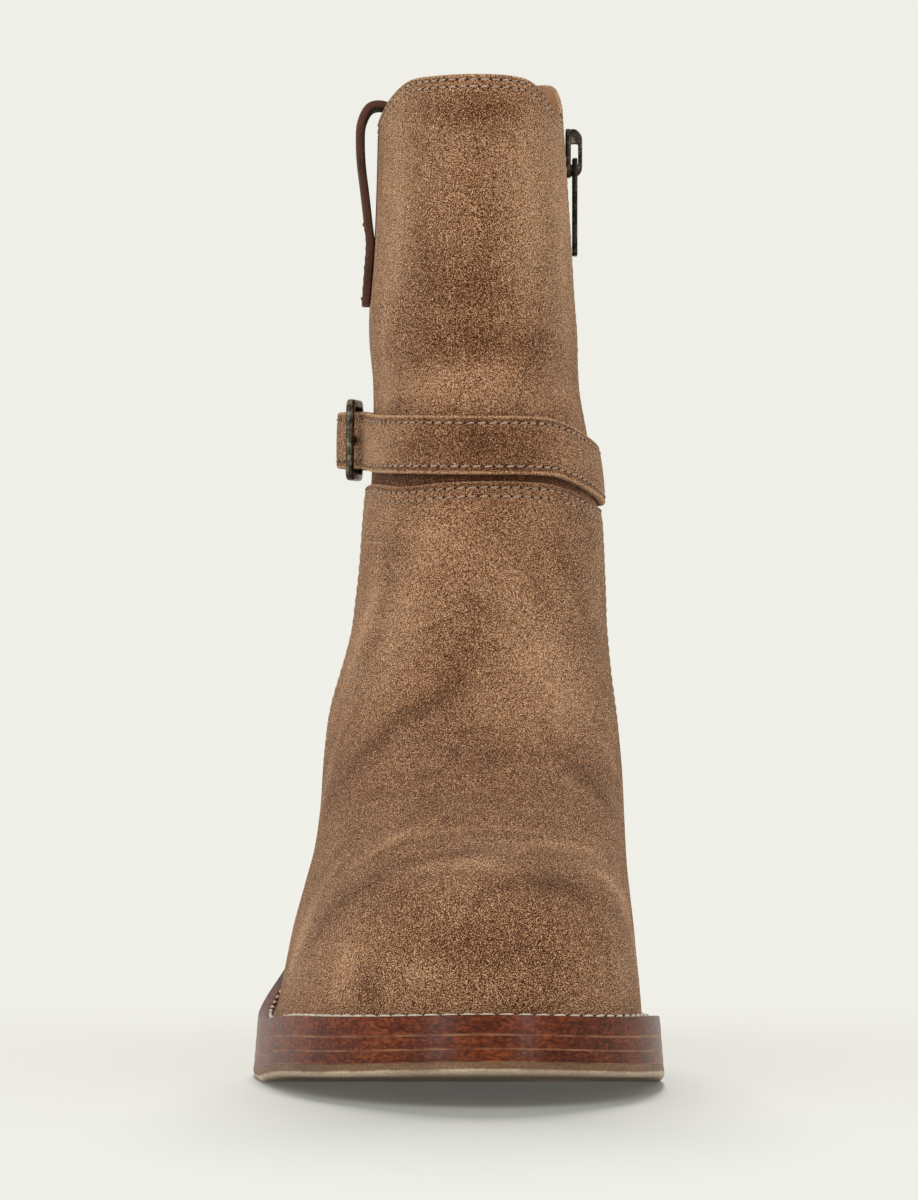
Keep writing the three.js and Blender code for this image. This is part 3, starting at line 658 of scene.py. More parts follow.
def makeSuede():
    look = Looks("suede", 0.9)
    blotch = look.noise(suedeLook["blotchScale"], 3, 0.55, distortion=0.6)
    patch = look.noise(suedeLook["patchScale"], 3, 0.6)
    nap = look.stretched((1, 0.6, 1))
    fleck = look.span(look.noise(suedeLook["fleckScale"], 1, 0.5, nap, 0.3), 0.33, 0.67)
    fine = look.span(look.noise(suedeLook["fleckScale"] * 2.2, 1, 0.5, nap), 0.3, 0.7)
    # tone from the per-point attribute, which carries painted shade and light as well as the nap's own mottling
    wearAndShade = look.attribute("wearAndShade")
    tone = look.weighted(
        (blotch, suedeLook["blotchGain"]), (patch, suedeLook["patchGain"]), (fleck, suedeLook["fleckGain"]),
        (fine, suedeLook["fleckGain"] * 0.8), (wearAndShade, suedeLook["wearAndShadeGain"]))
    stops = zip((0.1, 0.46, 0.76, 1), (suedeLook[key] for key in ("dark", "middle", "light", "speck")))
    colour = look.ramp(tone, *stops)
    red = look.span(look.noise(38, 2, 0.5), 0.35, 0.7, 0, 0.22)
    look.set(Base_Color=look.blend("MULTIPLY", red, colour, (0.95, 0.72, 0.58)))
    grain = look.bump(fleck, suedeLook["grainDepth"], 0.7)
    look.set(Normal=look.bump(patch, 0.0006, 0.35, grain))
    look.set(Specular_IOR_Level=0.12, Sheen_Weight=suedeLook["sheen"], Sheen_Roughness=0.5)
    look.set(Sheen_Tint=suedeLook["sheenTint"])
    return look.material


def makeEdge():
    look = Looks("stacked_edge", edgePaint["roughness"])
    lengthwise = look.stretched((0.4, 0.4, 1.8))
    fibre = look.noise(edgePaint["fibreScale"], 5, 0.7, lengthwise)
    speck = look.noise(1500, 2, 0.6, look.stretched((0.5, 0.5, 1)))
    cloud = look.noise(60, 2, 0.5)
    tone = look.weighted((fibre, 0.8), (speck, 1.1), (cloud, 0.5))
    paint = look.ramp(tone, (0.2, edgePaint["dark"]), (0.5, edgePaint["middle"]), (0.85, edgePaint["light"]))
    # paler lines at the layers' joints: painted highlight along their edges
    broken = look.span(look.noise(300, 2, 0.6, lengthwise), 0.35, 0.65, 0.15, 0.8)
    line = look.math("MULTIPLY", look.attribute("seam"), broken)
    look.set(Base_Color=look.blend("MIX", line, paint, edgePaint["seam"]))
    look.set(Roughness=look.span(fibre, 0.3, 0.7, 0.3, 0.42))
    look.set(Normal=look.bump(look.weighted((fibre, 1), (speck, 0.7)), 0.00008, 0.5))
    look.set(Specular_IOR_Level=0.16, Coat_Weight=edgePaint["coat"], Coat_Roughness=0.18)
    return look.material


def makeOutsole():
    look = Looks("outsole_edge", 0.55)
    fibre = look.noise(200, 5, 0.7, look.stretched((0.25, 0.25, 2)))
    speck = look.noise(1300, 2, 0.6)
    tone = look.weighted((fibre, 0.8), (speck, 0.7), (look.noise(50, 3, 0.5), 0.5))
    paint = look.ramp(
        tone, (0.15, (0.055, 0.025, 0.01)), (0.5, (0.16, 0.078, 0.032)), (0.9, (0.3, 0.17, 0.085)))
    # the pale worn bottom edge, made lighter than its own colour: painted light on the downward bevel that the
    # floor leaves in shade
    wornAndLit = look.ramp(tone, (0.15, (0.3, 0.215, 0.14)), (0.5, (0.5, 0.38, 0.27)), (0.9, (0.74, 0.6, 0.46)))
    share = look.math("ADD", look.attribute("seam"), look.math("MULTIPLY", look.noise(110, 3, 0.6), 0.5))
    look.set(Base_Color=look.blend("MIX", look.span(share, 0.6, 0.86), paint, wornAndLit))
    look.set(Normal=look.bump(tone, 0.0002, 0.5))
    look.set(Specular_IOR_Level=0.4)
    return look.material


def makeLeather(name, dark, light, scale, roughness, depth, coat=0.0):
    look = Looks(name, roughness)
    cloud = look.noise(90, 3, 0.6)
    grain = look.noise(scale, 3, 0.6)
    look.set(Base_Color=look.ramp(look.weighted((cloud, 0.9), (grain, 0.7)), (0.2, dark), (0.8, light)))
    look.set(Normal=look.bump(grain, depth, 0.7))
    look.set(Specular_IOR_Level=0.45, Coat_Weight=coat, Coat_Roughness=0.3)
    return look.material


def makeMetal(name, dark, middle, light):
    look = Looks(name, 0.34)
    cloud = look.noise(420, 4, 0.65)
    pit = look.noise(2400, 2, 0.6)
    tone = look.weighted((cloud, 1.3), (pit, 0.5))
    look.set(Base_Color=look.ramp(tone, (0.2, dark), (0.5, middle), (0.85, light)))
    look.set(Roughness=look.span(cloud, 0.3, 0.7, 0.22, 0.48))
    look.set(Normal=look.bump(pit, 0.00004, 0.5))
    look.set(Metallic=1)
    return look.material


def makeThread(name, dark, light):
    look = Looks(name, 0.75)
    twist = look.noise(5200, 2, 0.6, look.stretched((1, 1, 0.4)))
    tone = look.weighted((twist, 1.2), (look.noise(500, 2, 0.5), 0.8))
    look.set(Base_Color=look.ramp(tone, (0.2, dark), (0.8, light)))
    look.set(Normal=look.bump(twist, 0.0001, 0.6))
    look.set(Specular_IOR_Level=0.25, Sheen_Weight=0.1)
    return look.material


suede = makeSuede()
edgeLook = makeEdge()
outsoleLook = makeOutsole()
liningLook = makeLeather("lining", (0.27, 0.095, 0.022), (0.62, 0.3, 0.11), 1100, 0.5, 0.0001, 0.1)
loopLook = makeLeather("loop_leather", (0.02, 0.006, 0.003), (0.13, 0.048, 0.024), 2200, 0.85, 0.0003)
rubberLook = makeLeather("top_lift", (0.012, 0.01, 0.009), (0.035, 0.03, 0.026), 700, 0.7, 0.0001)
tapeLook = makeLeather("zip_tape", (0.012, 0.008, 0.006), (0.04, 0.028, 0.02), 2600, 0.9, 0.0002)
metalLook = makeMetal("aged_metal", (0.016, 0.012, 0.009), (0.06, 0.046, 0.033), (0.34, 0.3, 0.24))
pullMetal = makeMetal("pull_metal", (0.012, 0.009, 0.007), (0.03, 0.024, 0.018), (0.13, 0.11, 0.085))
threadLook = makeThread("thread", (0.2, 0.1, 0.055), (0.62, 0.43, 0.31))
vampThread = makeThread("vamp_thread", (0.2, 0.11, 0.06), (0.55, 0.38, 0.26))
loopThread = makeThread("loop_thread", (0.05, 0.02, 0.012), (0.2, 0.09, 0.05))
weltThread = makeThread("welt_thread", (0.4, 0.34, 0.27), (0.78, 0.71, 0.6))
# the needle holes are dark blobs: painted shade where the thread goes into the leather
holeShadeLook = makeLeather("needle_hole_shade", (0.006, 0.003, 0.002), (0.02, 0.01, 0.006), 900, 0.9, 0.0001)
print("materials made")

# Upper: the suede wall with its rolled collar and folded zip edges, and the lining inside it

upper = {
    "wall": 2.4,
    "zipSlot": 9,
    "zipBottom": 123,
    "slotEnd": 3.5,
    "rowCount": 210,
    "columnCount": 215,
    "edgeColumns": 16,
    "edgeStep": 0.6,
    "troughDepth": 0.22,
    "troughWidth": 0.55,
    "collarStitches": (1.35, 3.25),
    "edgeWall": 1.5,
    "zipStitch": 2.4,
    "stitchTop": 6.5,
    "stitchTurn": 3,
    "stitchBow": 5.4,
    "seamAside": 2.2,
    "rolledPaler": 0.35,
}
# painted shade: a dark line painted on the upper's suede between the strap and the vamp, where the strap shades
# it
strapShade = {
    "depth": -1.3,
    "rise": 2.5,
    "width": 3.5,
    "side": -5,
}
wall = upper["wall"]
zipAngle = rad(90)


def rowStations(count, low=0.0, high=float(topRow), angles=(0, 90, 180, 270)):
    fine = np.linspace(low, high, 1200)
    longest = np.zeros(len(fine) - 1)
    for degrees in angles:
        points = upperPoint(rad(degrees), fine)
        longest = np.maximum(longest, np.linalg.norm(np.diff(points, axis=0), axis=1))
    reach = np.concatenate([[0], np.cumsum(longest)])
    return np.interp(np.linspace(0, reach[-1], count), reach, fine)


def collarSpeed(angle):
    return np.linalg.norm(upperPoint(angle, topRow) - upperPoint(angle, topRow - 0.2), axis=-1) / 0.2


def rowBelowCollar(angle, distance):
    return topRow - distance / collarSpeed(angle)


def band(strip, distance):
    strength, middle, width = strip
    return strength * np.exp(-((distance - middle) / width) ** 2)


def groove(distance):
    return -upper["troughDepth"] * np.exp(-(distance / upper["troughWidth"]) ** 2)


def slotHalf(row):
    speed = roundSpeed(zipAngle, row)
    height = upperPoint(zipAngle, row)[..., 2] - upper["zipBottom"]
    share = np.clip(height / upper["slotEnd"], 0, 1)
    return upper["zipSlot"] / 2 * np.sqrt(1 - (1 - share) ** 2) / speed, share


def upperGrid():
    rows = rowStations(upper["rowCount"])
    extra = np.array([0.02, 0.45, 0.9, 1.4, 1.9, 2.4, 2.9, 3.4, 3.9, 4.4, 4.9, 5.5, 6.2, 7])
    fineTop = rowBelowCollar(zipAngle, extra[::-1])
    rows = np.concatenate([rows[rows < fineTop[0] - 0.02], fineTop])
    edge = np.arange(upper["edgeColumns"]) * upper["edgeStep"]
    half, opening = slotHalf(rows)
    speed = roundSpeed(zipAngle, rows)
    middle = np.linspace(0, 1, upper["columnCount"])[1:-1]
    columns = []
    for depth, inset in ((-1, 0), (-0.3, 0), (-0.1, 0.1), (-0.02, 0.3)):
        columns.append((zipAngle + half + inset * opening / speed, depth * wall * opening))
    for step in edge[1:]:
        columns.append((zipAngle + half + step / speed, 0 * rows))
    first = columns[-1][0]
    finalAngle = turn + 2 * zipAngle - first
    for share in middle:
        columns.append((mix(first, finalAngle, share), 0 * rows))
    mirror = [(turn + 2 * zipAngle - angle, depth) for angle, depth in columns[:len(edge) + 3]]
    columns += mirror[::-1]
    angle = np.array([c[0] for c in columns])
    depth = np.array([c[1] for c in columns])
    grid = np.broadcast_to(rows, angle.shape)
    return angle, grid, depth, opening


vampTopHeight = toeFeather + last["instepRise"] + 0.348 * last["shaftHeight"]


def makeUpper():
    angle, row, depth, opening = upperGrid()
    lip = upper["edgeWall"] / 2
    topAngle = angle[:, -1]
    fromCollar = (topRow - row) * collarSpeed(angle)
    trough = sum(groove(fromCollar - d) for d in upper["collarStitches"])
    aside = np.abs(np.angle(np.exp(1j * (angle - zipAngle)))) * roundSpeed(zipAngle, row) - upper["zipSlot"] / 2
    trough = trough + groove(aside - upper["zipStitch"]) * (opening > 0.99) * (depth == 0)
    row = np.minimum(row, rowBelowCollar(angle, lip))
    outer = upperOffset(angle, row, depth + trough)
    point = upperPoint(topAngle, topRow)
    normal = upperNormal(topAngle, topRow)
    rise = unitVector(point - upperPoint(topAngle, topRow - 0.05))
    base = outer[:, -1]
    rolled = []
    for share in (0.12, 0.25, 0.38, 0.5, 0.62, 0.75, 0.88, 1, 1.1):
        swing = min(share, 1) * math.pi
        inward = upper["edgeWall"] * (1 - math.cos(swing)) / 2
        down = 4 * max(share - 1, 0) * lip
        move = np.minimum(-inward - depth[:, -1], 0)[:, None] * normal
        rolled.append(base + move + rise * (lip * math.sin(swing) - down))
    points = np.concatenate([outer, np.stack(rolled, 1)], 1)
    columns, rows = points.shape[:2]
    # painted shade under the strap, strongest on the side turned to the front; the rolled collar's rows are
    # paler
    facing = np.cos(np.angle(np.exp(1j * (angle - rad(strapShade["side"])))) * 0.9)
    above = outer[..., 2] - (0.962 * vampTopHeight + strapShade["rise"])
    shaded = strapShade["depth"] * np.exp(-(above / strapShade["width"]) ** 2) * smoothStep(0.2, 0.6, facing)
    paler = np.tile(upper["rolledPaler"], (columns, rows - shaded.shape[1]))
    shaded = np.concatenate([shaded, paler], 1)
    faces = gridFaces(columns, rows)
    return makePiece("upper_suede", points, faces, suede, "suede", ("upper",), merge=0.01, wearAndShade=shaded)


makeUpper()


def makeLining():
    rows = rowStations(90)
    rows = rows[rows > 0.3]
    half = slotHalf(rows)[0]
    shares = np.linspace(0, 1, 121)
    angle = zipAngle + half[None] + shares[:, None] * (turn - 2 * half[None])
    row = np.minimum(np.broadcast_to(rows, angle.shape), rowBelowCollar(angle, upper["edgeWall"] / 2 + 0.2))
    slim = (wall - upper["edgeWall"]) * smoothStep(topRow - 0.25, topRow, row)
    points = upperOffset(angle, row, slim - wall)
    columns, count = points.shape[:2]
    faces = gridFaces(columns, count, flip=True)
    return makePiece("upper_lining", points, faces, liningLook, "lining_leather", merge=0.01)


makeLining()
print("upper made")

# Vamp: the overlay on the front, with its double stitched top edge

vamp = {
    "sides": (-85, 80),
    "thickness": 1.3,
    "columnCount": 190,
    "rowCount": 150,
    "edgeRadius": 0.9,
    "stitches": (2.0, 4.4),
    # the first band is the paler raw cut edge, the second a painted shade line just inside the top edge
    "rubbedAndShaded": (1.1, 0, 0.55),
    "shaded": (-0.7, 1.2, 0.5),
}
vampEdge = [
    (-90, 0.962), (-70, 0.967), (-40, 0.96), (-15, 0.966), (10, 0.968), (30, 0.966), (50, 0.952), (70, 0.931),
    (90, 0.922),
]


def vampTopRow(angle, below=0.0):
    return rowAtHeight(angle, curveThrough(vampEdge, np.degrees(angle)) * vampTopHeight - below)


def makeVamp():
    sides = [rad(d) for d in vamp["sides"]]
    near = [0, 0.0007, 0.002, 0.004, 0.007, 0.012]
    ease = np.concatenate([near, np.linspace(0.02, 0.5, vamp["columnCount"] // 2)])
    shares = np.concatenate([ease, 1 - ease[-2::-1]])
    angles = mix(sides[0], sides[1], shares)
    top = vampTopRow(angles)
    fine = rowStations(400, 0, 12, (0,))
    share = np.linspace(0, 1, vamp["rowCount"])
    share = 1 - (1 - share) ** 1.25
    share = np.concatenate([share[:-1], 1 - np.array([0.0025, 0.0012, 0.0004, 0])])
    share = np.sort(share)
    reach = np.interp(top, fine, np.linspace(0, 1, len(fine)))
    row = np.interp(share[None] * reach[:, None], np.linspace(0, 1, len(fine)), fine)
    row[:, -1] = top
    angle = np.broadcast_to(angles[:, None], row.shape)
    surface = upperPoint(angle, row)
    speed = roundSpeed(angle, row)
    toSide = np.minimum(angle - sides[0], sides[1] - angle) * speed
    steps = np.linalg.norm(np.diff(surface, axis=1), axis=-1)
    toTop = np.concatenate([np.cumsum(steps[:, ::-1], 1)[:, ::-1], np.zeros((len(angles), 1))], 1)
    edge = np.minimum(toSide, toTop)
    bend = np.clip(edge / vamp["edgeRadius"], 0, 1)
    lift = fit + vamp["thickness"]
    distance = lift * np.sqrt(np.clip(1 - (1 - bend) ** 2, 0, 1))
    for stitch in vamp["stitches"]:
        distance = distance + groove(toTop - stitch) + groove(toSide - stitch)
    points = upperOffset(angle, row, distance)
    columns, rows = points.shape[:2]
    # paler raw cut edge plus a painted shade line just under the top edge
    rubbedAndShaded = band(vamp["rubbedAndShaded"], edge) + band(vamp["shaded"], toTop)
    return makePiece("vamp_suede", points, gridFaces(columns, rows), suede, "suede", ("vamp",), wearAndShade=rubbedAndShaded)


makeVamp()
print("vamp made")

# Strap: one belt round the ankle, its free end over the buckle's front bar

strap = {
    "width": 15.6,
    "thickness": 2.2,
    "tipLength": 36,
    "columnCount": 420,
    "stitchInset": 2.0,
    "corner": 0.75,
    "crown": 0.18,
    # the first band is the paler raw cut edge, the second a painted shade line inside it
    "rubbedAndShaded": (1.0, 0.35, 0.4),
    "shaded": (-0.6, 1.15, 0.4),
}
buckle = {
    "play": 0.8,
    "bar": 2.3,
    "length": 19.6,
    "thickness": 2.2,
    "tilt": 7,
    "corner": 3.2,
    "bevel": 0.7,
    "prongWidth": 2.4,
    "prongThickness": 1.7,
    "clear": 0.6,
}
strapTable = [
    (0, 0.6228), (35, 0.6222), (50, 0.615), (70, 0.602), (90, 0.595), (135, 0.597), (180, 0.61), (225, 0.63),
    (270, 0.633), (300, 0.627), (340, 0.6235),
]
buckleAngle = rad(-90)


def strapMiddle(angle):
    return collarFront * curveRound(strapTable, angle)


buckleRow = rowAtHeight(buckleAngle, strapMiddle(buckleAngle))
buckleSpeed = float(roundSpeed(buckleAngle, buckleRow))
barMiddle = (buckle["length"] - buckle["bar"]) / 2
rearStandoff = 2 * barMiddle * math.sin(math.radians(buckle["tilt"]))
strapLift = strap["thickness"] + fit + rearStandoff + buckle["thickness"] + fit + buckle["clear"]
strapRest = (strap["thickness"] + fit) / strapLift
liftTable = [
    (-strap["tipLength"], strapRest), (-2.9 * barMiddle, strapRest), (-1.7 * barMiddle, 0.96),
    (-barMiddle, 1), (barMiddle, 0), (2 * barMiddle, 0),
]
tipShare = [(0, 0.3), (3, 0.72), (8, 1), (12, 1)]
strapStart = buckleAngle - strap["tipLength"] / buckleSpeed
strapEnd = buckleAngle + turn - 4 / buckleSpeed


def strapPlace(angle, share, inner, lift):
    distance = (angle - buckleAngle) * buckleSpeed
    half = strap["width"] / 2 * curveThrough(tipShare, (angle - strapStart) * buckleSpeed)
    base = fit + strapLift * curveThrough(liftTable, distance)
    row = rowAtHeight(angle, strapMiddle(angle) + half * share)
    return upperOffset(angle, row, base + inner + lift)


def makeStrap():
    near = np.linspace(strapStart, strapStart + 8 / buckleSpeed, 24)[:-1]
    angles = np.concatenate([near, np.linspace(near[-1], strapEnd, strap["columnCount"])[1:]])
    half = strap["width"] / 2
    corner = strap["corner"]
    thick = strap["thickness"]
    section = []
    for k in range(5):
        swing = math.pi / 2 * k / 4
        section.append((
            1 - (corner - corner * math.sin(swing)) / half, thick - corner + corner * math.cos(swing)))
    face = np.linspace(-1 + corner / half, 1 - corner / half, 34)
    outer = [(x, thick) for x in face[:-1]] + section
    foot = 1 - corner / half * 0.3
    under = [(foot, 0.15), (0.9, 0), (0.3, 0), (-0.3, 0), (-0.9, 0), (-foot, 0.15)]
    left = [(-x, z) for x, z in section[1:]][::-1]
    ring = outer + under + left
    share = np.array([p[0] for p in ring])
    level = np.array([p[1] for p in ring])
    inset = half - np.abs(share) * half
    onTop = level > thick - 0.01
    level = level + np.where(onTop, groove(inset - strap["stitchInset"]), 0)
    level = level + np.where(onTop, strap["crown"] * (1 - (share * 1.1) ** 2), 0)
    angle = np.broadcast_to(angles[:, None], (len(angles), len(ring)))
    points = strapPlace(angle, share[None], level[None], 0.0)
    columns, count = points.shape[:2]
    # paler raw cut edge plus a painted shade line inside it, on the top face only
    rubbedAndShaded = band(strap["rubbedAndShaded"], inset) + band(strap["shaded"], inset)
    rubbedAndShaded = np.broadcast_to(np.where(level > thick - corner - 0.1, rubbedAndShaded, 0), points.shape[:2])
    faces = sweepFaces(columns, count)
    return makePiece("strap_suede", points, faces, suede, "suede", ("strap",), wearAndShade=rubbedAndShaded)


makeStrap()
print("strap made")

# Sole: four layers over one profile, the insole and the heel

sole = {
    "flare": 1.2,
    "edgeRound": 0.09,
    "bottomRound": 1.3,
    "steps": 170,
    "insole": 2.5,
    "insoleInset": 3.6,
    "heelLength": 54,
    "heelInset": 0.8,
    "heelTaper": 3,
    "topLift": 6,
    "stackLayers": 8,
    "stackRings": 6,
    "stackSeam": 0.28,
    "layerGap": 0.02,
    "bulge": 0.06,
    "insoleSteps": 60,
    "heelSteps": 72,
}
soleLayers = [
    ("welt", 1, 0.667, edgeLook, "stacked_leather"),
    ("midsole_upper", 0.667, 0.433, edgeLook, "stacked_leather"),
    ("midsole_lower", 0.433, 0.212, edgeLook, "stacked_leather"),
    ("outsole", 0.212, 0, outsoleLook, "outsole_leather"),
]


def makeSlab(name, rings, steps, look, slotName, starts=None, seams=None):
    shares = np.linspace(0, 1, steps + 1)
    points = np.zeros((len(rings), steps + 1, 2, 3))
    for r, (grow, level) in enumerate(rings):
        angles = mix(starts[r] if starts else 0.0, math.pi, shares)
        for side, sign in enumerate((1, -1)):
            x, y = solePlan(sign * angles, grow(sign * angles))
            points[r, :, side] = np.stack([x, y, level(y)], -1)
    faces = []
    count = 2 * (steps + 1)

    def at(r, i, side):
        return r * count + 2 * i + side

    final = len(rings) - 1
    for i in range(steps):
        faces.append((at(0, i, 1), at(0, i, 0), at(0, i + 1, 0), at(0, i + 1, 1)))
        faces.append((at(final, i + 1, 1), at(final, i + 1, 0), at(final, i, 0), at(final, i, 1)))
        for r in range(final):
            faces.append((at(r, i, 0), at(r + 1, i, 0), at(r + 1, i + 1, 0), at(r, i + 1, 0)))
            faces.append((at(r, i + 1, 1), at(r + 1, i + 1, 1), at(r + 1, i, 1), at(r, i, 1)))
    for r in range(final):
        faces.append((at(r, 0, 1), at(r + 1, 0, 1), at(r + 1, 0, 0), at(r, 0, 0)))
    shade = np.broadcast_to(np.asarray(seams or [0.0] * len(rings))[:, None, None], points.shape[:-1])
    return makePiece(name + "_look", points, faces, look, slotName, (name,), merge=0.004, seam=shade)


def weltGrow(scale, less=0.0):
    def reach(angle):
        return weltOut(angle) * scale - less
    return reach


def soleAt(share, lift):
    def height(y):
        return soleLevel(y, share) + lift
    return height


# Rings from a layer's top to its bottom, and how pale each ring is painted: a painted highlight line along the
# layers' edges at the joints, and the outsole's pale worn bottom edge
def layerRings(upperShare, lowerShare):
    gap = sole["layerGap"] if upperShare < 1 else 0
    soft = sole["edgeRound"]
    foot = soft if lowerShare else sole["bottomRound"]
    sideShares = (0.08, 0.4, 0.7, 0.92) if lowerShare else (0.06, 0.2, 0.38, 0.55)

    def grow(share, inset):
        return weltGrow(1 + sole["flare"] * (1 - share) / last["weltReach"], inset)

    rings = []
    if upperShare == 1:
        for share in (-0.4, 0.2, 0.32, 0.4, 0.46, 0.5, 0.54, 0.6, 0.68, 0.8):
            drop = -0.4 * math.exp(-((share - 0.5) / 0.09) ** 2)
            rings.append((weltGrow(share), soleAt(1, drop)))
    topSeam = 0.0 if upperShare == 1 else 1.0 if lowerShare else 0.3
    seams = [0.0] * len(rings) + [topSeam] * 4
    seams += [0.0] * 4 + [1.0] * 4 if lowerShare else [0.0, 0.08, 0.22, 0.38, 0.5, 0.65, 0.8, 0.9]
    for share in (0, 0.35, 0.7, 1):
        swing = share * math.pi / 2
        inset, drop = soft * (1 - math.sin(swing)), -gap - soft * (1 - math.cos(swing))
        rings.append((grow(upperShare, inset), soleAt(upperShare, drop)))
    for share in sideShares:
        part = mix(upperShare, lowerShare, share)
        rings.append((grow(part, -sole["bulge"] if 0.1 < share < 0.9 else 0), soleAt(part, 0)))
    for share in (1, 0.7, 0.35, 0):
        swing = share * math.pi / 2
        inset, rise = foot * (1 - math.sin(swing)), foot * (1 - math.cos(swing))
        rings.append((grow(lowerShare, inset), soleAt(lowerShare, rise)))
    return rings, seams


for name, upperShare, lowerShare, look, slotName in soleLayers:
    rings, seams = layerRings(upperShare, lowerShare)
    makeSlab(name, rings, sole["steps"], look, slotName, seams=seams)

makeSlab("insole", [
    (weltGrow(0, sole["insoleInset"] + 0.5), soleAt(1, fit + sole["insole"])),
    (weltGrow(0, sole["insoleInset"]), soleAt(1, fit + sole["insole"] - 0.4)),
    (weltGrow(0, sole["insoleInset"]), soleAt(1, fit)),
], sole["insoleSteps"], liningLook, "lining_leather")


def heelBreast(shorten):
    y = placeY(1) - sole["heelLength"] + shorten
    return math.acos(max(-1, min(1, 1 - 2 * placeOf(y))))


def makeHeel(name, levels, look, slotName):
    rings = []
    starts = []
    for level, inset in levels:
        height = level(np.array([0.0]))[0]
        taper = sole["heelTaper"] * (1 - min(height / last["heelHeight"], 1)) + inset
        starts.append(heelBreast(taper))
        rings.append((weltGrow(1, sole["heelInset"] + taper), level))
    return makeSlab(name, rings, sole["heelSteps"], look, slotName, starts)


def heelAt(share, bottom):
    def height(y):
        return mix(soleLevel(y, 0) - fit * 0.3, bottom, share)
    return height


def heelLevels():
    bottom = sole["topLift"] + fit * 0.3
    count = sole["stackLayers"]
    rings = count * sole["stackRings"]
    levels = []
    for k in range(rings + 1):
        share = k / rings
        seam = sole["stackSeam"] * math.exp(-((share * count + 0.5) % 1 - 0.5) ** 2 / 0.006)
        levels.append((heelAt(share, bottom), seam))
    return levels


# height above the floor, inset of the tread's edge
liftLevels = [(sole["topLift"], 0.3), (sole["topLift"] - 0.3, 0), (0.5, 0), (0.15, 0.12), (0, 0.5)]
makeHeel("heel_stack", heelLevels(), edgeLook, "stacked_leather")
liftRings = [(heelAt(1, height), inset) for height, inset in liftLevels]
makeHeel("top_lift", liftRings, rubberLook, "top_lift_rubber")
print("sole and heel made")


# Stitches and other small things that repeat: instanced on marked points, then made plain


def makeRepeater(name, body, size):
    group = bpy.data.node_groups.new(name, "GeometryNodeTree")
    keys = {}
    for label, kind in (
        ("Points", "Geometry"), ("Size", "Vector"), ("Wobble", "Float"), ("Seed", "Int"),
        ("Material", "Material"),
    ):
        socket = group.interface.new_socket(name=label, in_out="INPUT", socket_type="NodeSocket" + kind)
        keys[label] = socket.identifier
    group.interface.new_socket(name="Mesh", in_out="OUTPUT", socket_type="NodeSocketGeometry")
    given = addNode(group, "NodeGroupInput").outputs

    def vector(kind, inputs):
        node = addNode(group, kind, inputs, data_type="FLOAT_VECTOR")
        return [socket for socket in node.outputs if socket.type == "VECTOR" and socket.enabled][0]

    stamp = addNode(group, "GeometryNodeMesh" + body, size)
    turned = addNode(group, "FunctionNodeAxesToRotation", {
        "Primary Axis": vector("GeometryNodeInputNamedAttribute", {"Name": "surfaceNormal"}),
        "Secondary Axis": vector("GeometryNodeInputNamedAttribute", {"Name": "runTangent"}),
    }, primary_axis="Z", secondary_axis="X")
    chance = vector("FunctionNodeRandomValue", {"Min": (-1, -1, -1), "Seed": given["Seed"]})
    swing = addNode(group, "ShaderNodeVectorMath", {0: chance, "Scale": given["Wobble"]}, operation="SCALE")
    tilt = addNode(group, "FunctionNodeEulerToRotation", {0: swing.outputs["Vector"]})
    both = addNode(
        group, "FunctionNodeRotateRotation", {0: turned.outputs[0], 1: tilt.outputs[0]}, rotation_space="LOCAL")
    place = addNode(group, "GeometryNodeInstanceOnPoints", {
        "Points": given["Points"], "Instance": stamp.outputs["Mesh"], "Rotation": both.outputs[0],
        "Scale": given["Size"]})
    made = addNode(group, "GeometryNodeRealizeInstances", {"Geometry": place.outputs["Instances"]})
    paint = addNode(group, "GeometryNodeSetMaterial", {
        "Geometry": made.outputs["Geometry"], "Material": given["Material"]})
    addNode(group, "NodeGroupOutput", {"Mesh": paint.outputs["Geometry"]})
    return group, keys


repeaters = {
    "thread": makeRepeater("thread_nodes", "UVSphere", {"Segments": 8, "Rings": 6, "Radius": 0.5}),
    "tooth": makeRepeater("tooth_nodes", "Cylinder", {"Vertices": 10, "Radius": 0.5, "Depth": 1}),
}


def spacedRun(points, normals, pitch, phase=0.5):
    steps = np.linalg.norm(np.diff(points, axis=0), axis=1)
    reach = np.concatenate([[0], np.cumsum(steps)])
    count = max(2, int(round(reach[-1] / pitch)))
    at = (np.arange(count - (1 if phase == 1 else 0)) + phase) / count * reach[-1]

    def sampled(values, places):
        return np.stack([np.interp(places, reach, values[:, k]) for k in range(3)], 1)

    ahead = sampled(points, at + 0.3) - sampled(points, at - 0.3)
    return sampled(points, at), unitVector(sampled(normals, at)), unitVector(ahead)


def makeRepeated(name, runs, size, material, kind="thread", wobble=0.06, seed=7):
    spots, normals, tangents = (np.concatenate(parts) for parts in zip(*runs))
    data = bpy.data.meshes.new(name + "_points")
    data.from_pydata((spots * mm).tolist(), [], [])
    for label, values in (("surfaceNormal", normals), ("runTangent", tangents)):
        layer = data.attributes.new(label, "FLOAT_VECTOR", "POINT")
        layer.data.foreach_set("vector", np.asarray(values, float).ravel())
    marked = link(name + "_points", data)
    group, keys = repeaters[kind]
    modifier = marked.modifiers.new("repeat", "NODES")
    modifier.node_group = group
    modifier[keys["Size"]] = [value * mm for value in size]
    modifier[keys["Wobble"]] = float(wobble)
    modifier[keys["Seed"]] = seed
    modifier[keys["Material"]] = material
    graph = bpy.context.evaluated_depsgraph_get()
    made = bpy.data.meshes.new_from_object(marked.evaluated_get(graph))
    made.name = name
    marked.modifiers.remove(modifier)
    bpy.data.objects.remove(marked)
    for label in ("surfaceNormal", "runTangent"):
        if label in made.attributes:
            made.attributes.remove(made.attributes[label])
    made.shade_smooth()
    return dress(name, made)


